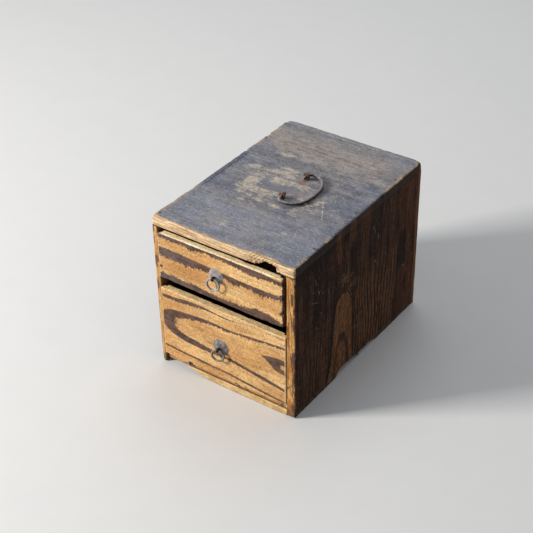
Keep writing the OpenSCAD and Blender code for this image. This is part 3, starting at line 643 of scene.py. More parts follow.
def lid_radius(point):
    """Wear of the lid's arrises: its front edge most, chips at its sides, and a worn corner."""
    front = smooth_step(point.y, lid_low.y + 9, lid_low.y + 2)
    top = smooth_step(point.z, lid_low.z + 3, lid_high.z - 2)
    usual = worn_radius(point, 0.6, 0.5 + 8.0 * top, 5.0)
    edge = usual + front * top * worn_radius(point, 1.5, 2.2, 8.0)
    side = 1 if point.x > 0 else -1
    back = point.y - lid_low.y
    bite = sum(depth * math.exp(-((back - place) / CHIP_LENGTH) ** 2) for place, depth in LID_CHIPS[side])
    edge += top * bite
    left_corner = CORNER_WEAR * smooth_step(point.x, lid_low.x + 12, lid_low.x + 4) * front
    right_lip = 1.8 * smooth_step(point.x, notch_left + NOTCH_WIDTH + 4, lid_high.x) * front
    corner = max(left_corner, right_lip)
    return max(edge, corner), max(edge, corner), edge


def gnawed(point):
    """Lifts the underside of the front edge into the gnawed notch, with slanting tooth marks."""
    point.x -= lean_at(point) * smooth_step(point.x, lid_low.x + LID_LEAN_WIDTH, lid_low.x)
    share = (point.x - notch_left) / NOTCH_WIDTH
    if not -0.35 < share < 1.25:
        return point
    height = NOTCH_HEIGHT * along(NOTCH_EDGE, share)
    reach = NOTCH_DEPTH * (1 - (2 * min(max(share, 0), 1) - 1) ** 2)
    inside = smooth_step(point.y, lid_low.y + reach + 0.3, lid_low.y + reach - 1.2)
    thickness = lid_high.z - lid_low.z
    point.z += (lid_high.z - point.z) * inside * height / thickness
    chewed = smooth_step(share, -0.35, 0.05) * smooth_step(share, 1.2, 1.0)
    chewed *= smooth_step(point.y, lid_low.y + 3.5, lid_low.y)
    chewed *= smooth_step(point.z, lid_high.z + 1.5, lid_low.z + 5)
    teeth = abs(math.sin((point.x - point.z * 0.9) * 0.9 + 3.0 * noise.noise(point * 0.25)))
    splinters = 1.2 * noise.noise(point * 0.4) + 0.6 * noise.noise(point * 1.1)
    point.y += chewed * (0.5 + 0.6 * teeth + splinters)
    return point


def lid_relief(point, normal):
    """Grain standing up on the top, and shallow dents."""
    ridge = noise.noise(Vector((point.x * 0.012, point.y * 0.45, 5.0)))
    dent = max(0.0, noise.noise(point * 0.07 + Vector((0, 0, 4))) - 0.2)
    rough = noise.noise(point * 0.35)
    return max(0.0, normal.z) * (0.12 + 0.1 * ridge + 0.5 * dent + 0.06 * rough)


notch_cuts = [notch_left - 8 + 0.9 * i for i in range(44)]
notch_rows = [lid_low.y + r for r in (4.2, 5.4, 6.6, 7.8, 8.6, 9.4)]
top_board = board("top_board_worn", "top_board", "case", (5, 1.7, 1.4), lid_radius, gnawed,
                  lid_relief, extra=(notch_cuts, notch_rows, ()))

weathered = Finish("weathered_pine")
across, deep = weathered.x - lid_low.x, weathered.y - FRONT
streaks = weathered.cloud((34, 0.9, 0.9), 3.0, 0.62, 51.0)
bands = weathered.cloud((120, 9, 9), 3.0, 0.55, 53.0)
mottle = weathered.cloud((15, 10, 10), 5.0, 0.66, 55.0)
dapple = weathered.cloud((3.6, 2.8, 2.8), 4.0, 0.7, 56.0)
speckle = weathered.cloud((1.5, 1.2, 1.2), 2.0, 0.6, 57.0)
wander = mottle.about(30)
drift = weathered.cloud((34, 22, 22), 3.0, 0.6, 58.0)
weathered.colour = weathered.mix(mottle.rise(0.42, 0.58), dye(113, 116, 127), dye(132, 130, 134))
weathered.paint((deep + wander).rise(76, 44), dye(132, 134, 145))
weathered.paint((deep + wander).rise(180, 208), dye(136, 136, 139))
brown_band = (deep + wander * 1.4).within(157, 193, 13)
weathered.paint(brown_band * 0.85, dye(163, 151, 142))
warm = across.within(18, 122, 20) * drift.rise(0.4, 0.62) * 0.55
weathered.paint(warm, dye(140, 133, 128))
cool = across.rise(24, 4).most(across.rise(120, 146)) * drift.rise(0.62, 0.4) * 0.5
weathered.paint(cool, dye(104, 111, 128))
weathered.paint(bands.rise(0.5, 0.62) * 0.3, dye(92, 93, 104))
weathered.paint(streaks.rise(0.54, 0.64) * 0.3, dye(80, 79, 88))
weathered.paint(streaks.rise(0.46, 0.36) * 0.25, dye(168, 164, 162))
# Thin dark growth lines: distance from the front, half width, strength
LID_LINES = [(174.5, 1.1, 0.6), (180.5, 0.8, 0.6), (118, 1.0, 0.3), (79.5, 1.5, 0.5),
             (70, 0.8, 0.3), (137.5, 1.2, 0.35)]
for place, width, amount in LID_LINES:
    line = abs(deep + dapple.about(5) + bands.about(6) - place).rise(width, width * 0.3)
    weathered.paint(line * streaks.rise(0.35, 0.6) * amount, dye(92, 82, 86))
weathered.shade(-0.45 + mottle * 0.9 + dapple * 1.3 + speckle * 0.7)

# Bare patches, tan where the grey has rubbed off: middle across and back, half sizes, height
BARE_PATCHES = [
    (38, 98, 7, 17, 1), (39, 88, 10, 6, 1), (57, 88, 13, 7, 1.05), (59, 110, 8, 6, 1.1),
    (76, 113, 18, 4.5, 0.75), (33, 121.5, 13, 3.2, 0.95), (58, 124, 13, 4.5, 0.9),
    (56, 133, 13, 2.6, 0.75), (40, 155, 7, 3, 0.85), (88, 101, 11, 7, 0.85), (109, 95, 7, 11, 0.8),
    (38, 77, 4, 2.6, 0.9), (50, 76, 3, 2.4, 0.9), (60, 74, 5, 2.4, 0.95), (77, 73, 7, 2.4, 0.9),
    (98, 76, 3, 2.6, 0.9), (100, 70, 5, 2.4, 1), (47, 67, 4, 2, 0.75), (64, 64, 5, 1.6, 0.7),
    (110, 40, 6, 3, 0.5), (62, 26, 5, 3, 0.5)]
bare = weathered.patches(across + streaks.about(6), deep + dapple.about(3), BARE_PATCHES)
torn = weathered.cloud((11, 1.5, 1.5), 4.0, 0.62, 60.0)
rubbed = (bare + torn.about(3.2) + dapple.about(1.2) + mottle.about(1.2)).rise(0.15, 0.85)
tan = weathered.mix(dapple.rise(0.4, 0.58), dye(154, 145, 138), dye(196, 182, 162))
tan = weathered.shaded(tan, 0.25 + speckle * 0.7 + mottle * 0.8)
weathered.paint(rubbed * (0.55 + torn.rise(0.36, 0.56) * 0.35), tan)

# A smooth violet wedge among them, a dark strip along the left edge, pale flecks and pits
wedge = (across - 50).rise(-1, 8) * (across - 96).rise(8, -12)
smooth_patch = wedge * (deep - (across - 50) * 0.16 + dapple.about(3)).within(92, 102, 2.5)
weathered.paint(smooth_patch * 0.85, dye(121, 117, 126))
left_strip = (across + dapple.about(5)).rise(10, 3) * deep.within(72, 140, 6)
weathered.paint(left_strip * 0.75, dye(88, 92, 104))
left_line = abs(across - 4.6 + streaks.about(1.5)).rise(1.0, 0.3) * deep.within(66, 136, 5)
weathered.paint(left_line * 0.75, dye(52, 52, 60))
flecks = weathered.cloud((2.6, 1.5, 1.5), 2.0, 0.5, 62.0) + deep.rise(70, 20) * 0.03
weathered.paint(flecks.rise(0.6, 0.7) * (1 - rubbed) * 0.6, dye(180, 175, 174))
pits = weathered.cloud((2.8, 1.4, 1.4), 3.0, 0.6, 59.0).rise(0.62, 0.72)
weathered.paint(pits * 0.6, dye(66, 64, 70))

# Long scratches: from across and back, to across and back, half width
SCRATCHES = [
    (107, 110, 122, 84, 0.9), (113, 101, 127, 76, 0.6), (72, 30, 84, 26, 0.6),
    (58, 24, 64, 28, 0.7), (118, 52, 124, 34, 0.4), (86, 44, 92, 36, 0.4),
    (104, 70, 118, 55, 0.35), (110, 188, 122, 160, 0.4), (56, 68, 66, 60, 0.4),
    (20, 52, 34, 40, 0.3), (84, 206, 90, 200, 0.5), (116, 118, 128, 94, 0.3),
    (47.5, 128, 48.5, 62, 0.35), (30, 132, 47, 108, 0.3), (96, 152, 108, 132, 0.3)]
scratched = weathered.strokes(across, deep, SCRATCHES, dapple.about(2.0)) * dapple.rise(0.36, 0.58)
scratched = scratched.most(weathered.hairlines(across, deep, 150, 71.0) * mottle.rise(0.46, 0.6) * 0.6)
scratched = scratched.most(weathered.hairlines(across, deep, 128, 72.0) * drift.rise(0.46, 0.6) * 0.5)
weathered.paint(scratched * 0.75, dye(190, 182, 168))
# Dark knocks, given in the same way
KNOCKS = [(20, 108, 24, 106, 1.4), (40, 169, 44, 168, 1.6), (145, 36, 149, 35, 1.0), (74, 24, 78, 23, 1.0)]
knocked = weathered.strokes(across, deep, KNOCKS, dapple.about(3))
weathered.paint(knocked * 0.6, dye(70, 64, 68))

# The rubbed front edge, and chips of bare wood along the two side edges
rag = weathered.cloud((9, 3, 3), 4.0, 0.65, 61.0)
fray = weathered.cloud((2.2, 1.6, 1.6), 3.0, 0.6, 63.0)
chewed_zone = across.within(104, 133, 5)
from_front = deep + rag.about(5) + fray.about(2) + (weathered.z - lid_high.z) * 0.35 - chewed_zone * 2.5
honey_front = (from_front - across.rise(24, 4) * 2.0).rise(3.0, 1.3)
left_bare = (deep.within(-5, 47, 3) * 0.7).most(deep.within(51, 63, 2))
left_bare = left_bare.most(deep.within(150, 198, 5) * 0.85)
right_bare = deep.within(49, 59, 2).most(deep.within(148, 214, 6) * 0.9)
right_bare = right_bare.most(deep.within(-5, 22, 3) * 0.6)
from_left, from_right = across + LEFT_LEAN, lid_high.x - weathered.x
left_chips = (from_left + rag.about(18) + fray.about(6)).rise(6.4, 1.8) * left_bare
right_chips = (from_right + rag.about(22) + fray.about(5)).rise(5.0, 0.8) * right_bare
chips = left_chips.most(right_chips)
edge_tan = weathered.mix(fray.rise(0.4, 0.6), dye(150, 122, 96), dye(214, 184, 142))
weathered.paint(chips * (0.5 + dapple.rise(0.4, 0.56) * 0.45), edge_tan)
splits = weathered.cloud((6, 0.9, 2), 4.0, 0.65, 68.0)
split_edge = (from_right + splits.about(9)).rise(3.0, 0.2)
weathered.paint(split_edge * (1 - right_bare * 0.8) * 0.8, dye(52, 48, 52))
face_grain = weathered.cloud((26, 1, 0.9), 3.0, 0.6, 65.0)
face = weathered.mix(face_grain.rise(0.4, 0.6), dye(188, 148, 102), dye(240, 208, 162))
face = weathered.shaded(face, -0.15 + face_grain + fray * 0.6 + dapple * 0.7)
near_top = (weathered.z - lid_high.z + 3).rise(0, 3) * 0.06
lavender = (weathered.cloud((20, 2.6, 1.5), 4.0, 0.62, 67.0) + near_top).rise(0.5, 0.62)
face = weathered.mix(lavender * 0.6, face, dye(156, 136, 128))
lower_arris = (weathered.z + rag.about(2)).rise(lid_low.z + 1.2, lid_low.z + 0.2)
face = weathered.mix(lower_arris * 0.6, face, dye(136, 98, 66))
slanting = (across - weathered.z * 0.9) * 1.9
tooth_marks = (slanting + fray.about(5) + rag.about(6)).wave().rise(0.2, 0.9)
bitten = chewed_zone * across.rise(124, 112) * (tooth_marks * 0.35 + 0.12)
face = weathered.mix(bitten, face, dye(136, 98, 70))
weathered.paint(honey_front, face)

# End grain on both sides, and the bare underside
ends = abs(weathered.x).rise(lid_high.x - 1.0, lid_high.x - 0.35)
ends = ends * (weathered.z + fray.about(1.2)).rise(lid_high.z - 0.3, lid_high.z - 1.3)
ends = ends * (deep + rag.about(3)).rise(1.0, 2.4)
end_pores = weathered.cloud((1, 1.4, 2.4), 4.0, 0.65, 69.0)
end_grain = weathered.mix(end_pores.rise(0.4, 0.6), dye(21, 17, 16), dye(72, 53, 42))
end_stain, _ = stained(weathered, 5.0, 0.6)
end_grain = weathered.mix(0.6, end_grain, end_stain)
end_grain = soot_and_rust(weathered, end_grain, lid_high.z, 7.0)
end_mottle = weathered.cloud((2, 1.1, 5), 4.0, 0.65, 70.0)
end_grain = weathered.shaded(end_grain, -0.6 + end_mottle * 1.8 + dapple * 1.2)
weathered.paint(ends, end_grain)
beneath = weathered.z.rise(lid_low.z + 0.5, lid_low.z + 0.1) * (1 - honey_front)
weathered.paint(beneath, dye(44, 33, 27))

# The inside of the notch is painted near black: painted shade in the recess
notch_shade = across.within(106, 133.5, 1.0) * (weathered.y - lid_low.y).within(1.6, NOTCH_DEPTH + 3, 0.8)
notch_shade = notch_shade * (weathered.z + fray).rise(lid_high.z - 0.6, lid_high.z - 1.4)
weathered.paint(notch_shade * 0.9, dye(30, 22, 18))

# Rust that has run from the bail's pins
POST_X, POST_PITCH, EYE_HEIGHT = 3.5, 39.5, 3.6
rust_runs = [(POST_X - 2.8, -POST_PITCH / 2 - 0.6, 2.4, 2.2, 0.9),
             (POST_X - 1.8, POST_PITCH / 2 - 4.6, 3.6, 3.0, 1.1)]
stain = weathered.patches(weathered.x, weathered.y, rust_runs) + dapple.about(1.4)
weathered.paint(stain.rise(0.3, 0.9) * 0.8, dye(168, 116, 70))
around_pins = [(POST_X, end * POST_PITCH / 2, 3.2, 3.2, 1) for end in (-1, 1)]
close = weathered.patches(weathered.x, weathered.y, around_pins) + dapple.about(0.8)
weathered.paint(close.rise(0.4, 0.8) * 0.6, dye(72, 54, 46))

lid_height = (streaks * 0.3 + mottle * 0.2 + dapple * 0.25 + speckle * 0.1 - pits * 0.25 - scratched * 0.2
              + fray * honey_front * 0.3 - honey_front * chewed_zone * tooth_marks * 0.5)
weathered.surface(0.66 + mottle * 0.2 - smooth_patch * 0.12, lid_height, gloss=0.25)
weathered.wear_on(top_board)
# The back board's top edge is as grey as the lid
GREY_TOP = 0.9
back_board.data.materials.append(weathered.material)
for polygon in back_board.data.polygons:
    if polygon.center.z > (lid_high.z - GREY_TOP) * MM:
        polygon.material_index = 1

# Nails of the case
# Iron nails driven through the lid, the back and the sides. Their heads have gone dark.

nail_iron = Finish("nail_iron")
crust = nail_iron.cloud((0.5, 0.5, 0.5), 3.0, 0.6, 81.0)
by_nail = nail_iron.cloud((22, 22, 22), 1.0, 0.5, 82.0)
nail_iron.colour = nail_iron.mix(by_nail.rise(0.42, 0.58), dye(92, 70, 56), dye(88, 86, 92))
nail_iron.paint(nail_iron.x.rise(40, 60) * nail_iron.z.within(96, 150, 4), dye(72, 74, 84))
nail_iron.shade(0.5 + crust)
nail_iron.surface(0.6 + crust * 0.3, crust * 0.15, 0.2)
for name in ("top_nails", "back_nails", "bottom_nails"):
    nail_iron.wear_on(nodes[name])

# Bail
# A wire bail that lies on the lid, hooked into the eyes of two split pins. The pins go through
# the lid, and their legs are bent over beneath it. The wire is dull iron, and the pins are rusty.

rust = Finish("rusty_iron")
scale = rust.cloud((0.8, 0.8, 0.8), 4.0, 0.65, 83.0)
bloom = rust.cloud((2.6, 2.6, 2.6), 3.0, 0.6, 85.0)
rust.colour = rust.mix(scale.rise(0.38, 0.6), dye(36, 27, 24), dye(112, 80, 58))
rust.paint(bloom.rise(0.46, 0.64) * 0.65, dye(156, 118, 84))
rust.surface(0.78 + scale * 0.2, scale * 0.25 + bloom * 0.1, 0.1)
for name in ("front_bail_pin", "rear_bail_pin"):
    rust.wear_on(nodes[name])

# The wire's middle line in the bail's own plane: out from its axis, and along it to the rear
BAIL_LINE = [
    (0, -14.6), (0, -15.4), (0, -19), (0.25, -22.6), (0.8, -25.2), (1.8, -27.2), (3.4, -28.45),
    (5.6, -28.75), (8.8, -28.15), (12.9, -26.6), (16.7, -24.1), (19.7, -20.6), (21.7, -15.8),
    (22.8, -9.4), (23.3, -2.2), (23.0, 4.5), (21.8, 10.7), (19.6, 16.3), (16.5, 20.8),
    (12.8, 24.0), (8.9, 25.6), (5.3, 25.7), (2.9, 25.0), (1.2, 23.6), (0.3, 21.8), (0, 19.6),
    (0, 15.4), (0, 14.6)]
BAIL_WIRE, BAIL_SIDES, BAIL_REACH, OVER_LID, UNEVEN = 1.5, 16, 23.4, 0.3, 0.09
bail_lean = math.asin((EYE_HEIGHT - BAIL_WIRE - OVER_LID) / BAIL_REACH)


def bent_wire(line, radius, place):
    """A wire drawn out ring by ring from a circle along a flat line, its ends closed and rounded."""
    points = [Vector((a, b, 0)) for a, b in line]
    for _ in range(2):
        finer = [points[0]]
        for before, after in zip(points, points[1:]):
            finer += [before.lerp(after, 0.25), before.lerp(after, 0.75)]
        points = finer + [points[-1]]
    mesh = bmesh.new()
    flat, last = Vector((0, 0, 1)), None
    for i, point in enumerate(points):
        run = (points[min(i + 1, len(points) - 1)] - points[max(i - 1, 0)]).normalized()
        side = flat.cross(run)
        from_end = min((point - points[0]).length, (point - points[-1]).length)
        thick = radius * math.sqrt(max(0.06, 1 - max(0.0, 1 - from_end / radius) ** 2))
        thick *= 1 + UNEVEN * noise.noise(point * 0.35)
        turned = Matrix((side, flat, run)).transposed().to_4x4()
        ring = Matrix.Translation(point) @ turned @ Matrix.Scale(thick, 4)
        if last is None:
            bmesh.ops.create_circle(mesh, segments=BAIL_SIDES, radius=1, matrix=ring)
            edges = mesh.edges[:]
        else:
            drawn = bmesh.ops.extrude_edge_only(mesh, edges=edges)["geom"]
            edges = [e for e in drawn if isinstance(e, bmesh.types.BMEdge)]
            new = [v for v in drawn if isinstance(v, bmesh.types.BMVert)]
            edges = [e for e in edges if all(v in new for v in e.verts)]
            bmesh.ops.transform(mesh, matrix=ring @ last.inverted(), verts=new)
        last = ring
    bmesh.ops.holes_fill(mesh, edges=[e for e in mesh.edges if e.is_boundary], sides=0)
    bmesh.ops.recalc_face_normals(mesh, faces=mesh.faces)
    bmesh.ops.transform(mesh, matrix=Matrix.Scale(MM, 4) @ place, verts=mesh.verts)
    return mesh


bail_place = Matrix.Translation((POST_X, 0, lid_high.z + EYE_HEIGHT))
bail_place = bail_place @ Matrix.Rotation(bail_lean, 4, "Y")
bail = finished("bail_worn", bent_wire(BAIL_LINE, BAIL_WIRE, bail_place), "bail", "bail_handle")
BAIL_LIT_WAY = (-0.52, -0.1, 0.85)
bail_iron = Finish("bail_iron")
hammered = bail_iron.cloud((2.2, 2.2, 2.2), 3.0, 0.55, 87.0)
grit = bail_iron.cloud((0.6, 0.6, 0.6), 4.0, 0.65, 89.0)
bail_iron.colour = bail_iron.mix(hammered.rise(0.36, 0.64), dye(112, 105, 108), dye(142, 135, 138))
bail_iron.paint((grit + hammered.about(0.3)).rise(0.58, 0.7) * 0.6, dye(104, 82, 70))
# Painted shade: the side of the wire turned away from BAIL_LIT_WAY, the way the light comes from, is
# painted near black
bail_iron.paint(bail_iron.turned_to(BAIL_LIT_WAY).rise(0.5, -0.1), dye(40, 34, 35))
bail_iron.surface(0.6 + grit * 0.3, hammered * 0.22 + grit * 0.1, 0.1, gloss=0.4)
bail_iron.wear_on(bail)

# Drawer boxes
# Thin boards nailed together behind each front: two sides, a back and a bottom between them.
# They are bare wood, brown with age. The cells that each board is cut into are given in mm.

INNER_BOARDS = {
    "left_side": (3, 6, 1.6), "right_side": (3, 6, 1.6), "back": (6, 3, 1.6), "bottom": (3, 7, 3)}
drawer_pine = Finish("drawer_pine")
drawer_pine.colour, slide_relief = raw_wood(
    drawer_pine, drawer_pine.z, (55, 55, 0.8), 7.0, dye(96, 70, 48), dye(68, 49, 34), 91.0)
drawer_pine.surface(0.76, slide_relief)
for drawer in ("upper", "lower"):
    for part, cells in INNER_BOARDS.items():
        node = f"{drawer}_drawer_{part}"
        piece = board(f"{node}_worn", node, f"{drawer}_drawer", cells, inner_wear)
        (old_pine if part == "bottom" else drawer_pine).wear_on(piece)
    nail_iron.wear_on(nodes[f"{drawer}_drawer_nails"])

# Drawer fronts
# Two flat-sawn pine fronts, oiled honey brown, whose dark late wood stands out in long bands and
# a flame. The upper one has a ragged right end, and the lower one has split along its foot.

SIDE_INSET, SIDE_THICKNESS, LAP = 0.3, 4, 2.4
SHOULDER = SIDE_INSET + SIDE_THICKNESS
STRIP_START, STRIP_DEPTH, STRIP_HEIGHT = 27, 2, 4.4
RAGGED_END = [
    (0, 0.3), (9, 0.2), (12, 1.6), (17, 1.9), (21, 0.5), (30, 0.4), (33, 1.7), (36, 0.6),
    (44, 0.5), (50, 1.2)]
UPPER_FOOT = [(0, 1.9), (0.4, 1.0), (0.82, 0.0), (0.92, 0.5), (1, 1.3)]
upper_low, upper_high = (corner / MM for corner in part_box("upper_drawer_front"))
lower_low, lower_high = (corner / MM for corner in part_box("lower_drawer_front"))


def rabbeted(point, low, high):
    """Cuts the rabbets for the drawer sides out of the back of a front, at both ends."""
    if point.x < low.x + SHOULDER or point.x > high.x - SHOULDER:
        thickness = high.y - low.y
        point.y = low.y + (point.y - low.y) * (thickness - LAP) / thickness
    return point


def shoulders(low, high):
    """Places to cut a front close beside the shoulders of its rabbets."""
    return [x + off for x in (low.x + SHOULDER, high.x - SHOULDER) for off in (-0.02, 0.02)]


def upper_front_form(point):
    """Rabbets, the wandering lower edge and the ragged right end of the upper front."""
    point = rabbeted(point, upper_low, upper_high)
    share = (point.x - upper_low.x) / (upper_high.x - upper_low.x)
    point.z += along(UPPER_FOOT, share) * max(0.0, 1 - (point.z - upper_low.z) / 14)
    end = smooth_step(point.x, upper_high.x - 8, upper_high.x)
    rag = along(RAGGED_END, point.z - upper_low.z) + 0.5 * noise.noise(point * 0.9)
    point.x -= end * max(0.0, rag)
    corner = smooth_step(point.x, upper_low.x + 6, upper_low.x)
    point.z -= 2.2 * corner * smooth_step(point.z, upper_high.z - 6, upper_high.z)
    return point


def lower_front_form(point):
    """Rabbets, the strip split off along the foot of the lower front, and its worn left corner."""
    point = rabbeted(point, lower_low, lower_high)
    split_x = point.x - lower_low.x - STRIP_START
    top = STRIP_HEIGHT + 0.7 * noise.noise(Vector((point.x * 0.25, 0, 2)))
    top += 1.4 * smooth_step(split_x, 96, 106)
    top *= smooth_step(split_x, -2.0, 1.5)
    inside = smooth_step(point.z - lower_low.z, top + 0.35, top - 0.35) * (split_x > -2.0)
    thickness = lower_high.y - lower_low.y
    back = 1 - (point.y - lower_low.y) / thickness
    point.y += STRIP_DEPTH * inside * max(0.0, back)
    worn = smooth_step(split_x, 1, -4) * smooth_step(point.z, lower_low.z + 3, lower_low.z)
    nick = smooth_step(point.x, lower_low.x + 4.6, lower_low.x + 3.4)
    nick *= smooth_step(point.z, lower_low.z + 5.4, lower_low.z + 3.6)
    point.y += (1.1 * worn + 3.2 * nick) * max(0.0, back)
    return point


def front_relief(point, normal):
    ridge = noise.noise(Vector((point.x * 0.012, 1.0, point.z * 0.4)))
    dent = max(0.0, noise.noise(point * 0.08 + Vector((3, 0, 0))) - 0.25)
    return max(0.0, -normal.y) * (0.08 + 0.08 * ridge + 0.4 * dent + 0.05 * noise.noise(point * 0.5))


front_wear = evenly_worn(0.6, 3.6, 29.0)
strip_rows = [lower_low.z + r * 0.35 for r in range(9, 22)]
nick_cuts = [lower_low.x + r * 0.4 for r in range(8, 13)]
upper_front = board(
    "upper_drawer_front_worn", "upper_drawer_front", "upper_drawer", (2.6, 2, 1.5), front_wear,
    upper_front_form, front_relief, extra=(shoulders(upper_low, upper_high), (), ()))
lower_front = board(
    "lower_drawer_front_worn", "lower_drawer_front", "lower_drawer", (3, 2, 1.5), front_wear,
    lower_front_form, front_relief,
    extra=(shoulders(lower_low, lower_high) + nick_cuts, (), strip_rows))

# Edges of the dark bands of the grain, as across from the case's left side and up from the ground
BAND_1_TOP = [
    (2, 149.9), (20, 149.9), (40, 148.8), (60, 147.9), (80, 147.6), (100, 147.1), (120, 146.2),
    (142, 144.8)]
BAND_1_FOOT = [
    (2, 142.2), (20, 142.5), (32, 143.1), (41, 141.1), (48, 143.3), (60, 143.6), (72, 143.4),
    (90, 142), (110, 140), (122, 140.8), (142, 141)]
BAND_2_TOP = [
    (2, 131.4), (12, 133.2), (25, 132.9), (45, 132), (60, 131), (80, 130.2), (110, 129.4),
    (142, 130.2)]
BAND_2_FOOT = [
    (2, 124.8), (12, 123), (25, 123.4), (34, 121.8), (48, 124.6), (62, 125.2), (76, 125.6),
    (88, 123.2), (100, 124.6), (117, 122.6), (126, 124), (142, 126.4)]
BAND_3_TOP = [
    (2, 104.2), (15, 105.8), (30, 105.2), (45, 105.4), (60, 103.4), (90, 103.4), (104, 104.8),
    (113, 106.9), (124, 106.2), (133, 103.6), (142, 100)]
BAND_3_FOOT = [(2, 90), (142, 90)]
LOOP_TOP = [
    (3, 54), (4, 60), (10, 65), (20, 67.6), (40, 70.2), (60, 71.3), (80, 70.8), (100, 72.7),
    (120, 75), (142, 76.6)]
LOOP_FOOT = [
    (3, 54), (4, 48.5), (10, 42.5), (20, 38), (40, 35.3), (60, 35.3), (80, 35.4), (100, 32.5),
    (120, 29.6), (142, 27)]
EYE_TOP = [
    (17, 53), (20, 58.6), (26, 61), (34, 63.8), (45, 65.6), (60, 67.7), (80, 68.3), (100, 70.1),
    (120, 72.4), (142, 74.4)]
EYE_FOOT = [
    (17, 53), (20, 47), (26, 44.6), (34, 43.2), (45, 41.6), (60, 39.6), (80, 38.6), (100, 36.2),
    (120, 33.6), (142, 29.8)]
FLAME_TOP = [(113, 57.8), (118, 59), (124, 60.6), (133, 61.8), (142, 61.6)]
FLAME_FOOT = [(113, 57.8), (118, 56.4), (123, 53.2), (127, 49.8), (132, 47), (142, 46)]
HIGH_TOP = [
    (2, 81.2), (20, 82.2), (35, 84.2), (50, 84.7), (60, 83.8), (75, 82.7), (100, 84.9), (142, 86)]
HIGH_FOOT = [
    (2, 77.8), (20, 78.2), (35, 79.7), (50, 81.3), (60, 82.0), (75, 81.2), (100, 83.7),
    (142, 84.6)]
LOW_TOP = [
    (2, 24.6), (20, 22.8), (40, 22.1), (60, 21.2), (75, 21), (95, 19.6), (110, 18.3),
    (125, 16.8), (142, 15.4)]
LOW_FOOT = [
    (2, 22.2), (20, 20.6), (40, 19.8), (60, 19.0), (75, 18.9), (95, 16.8), (110, 15.5),
    (125, 14.4), (142, 13.8)]


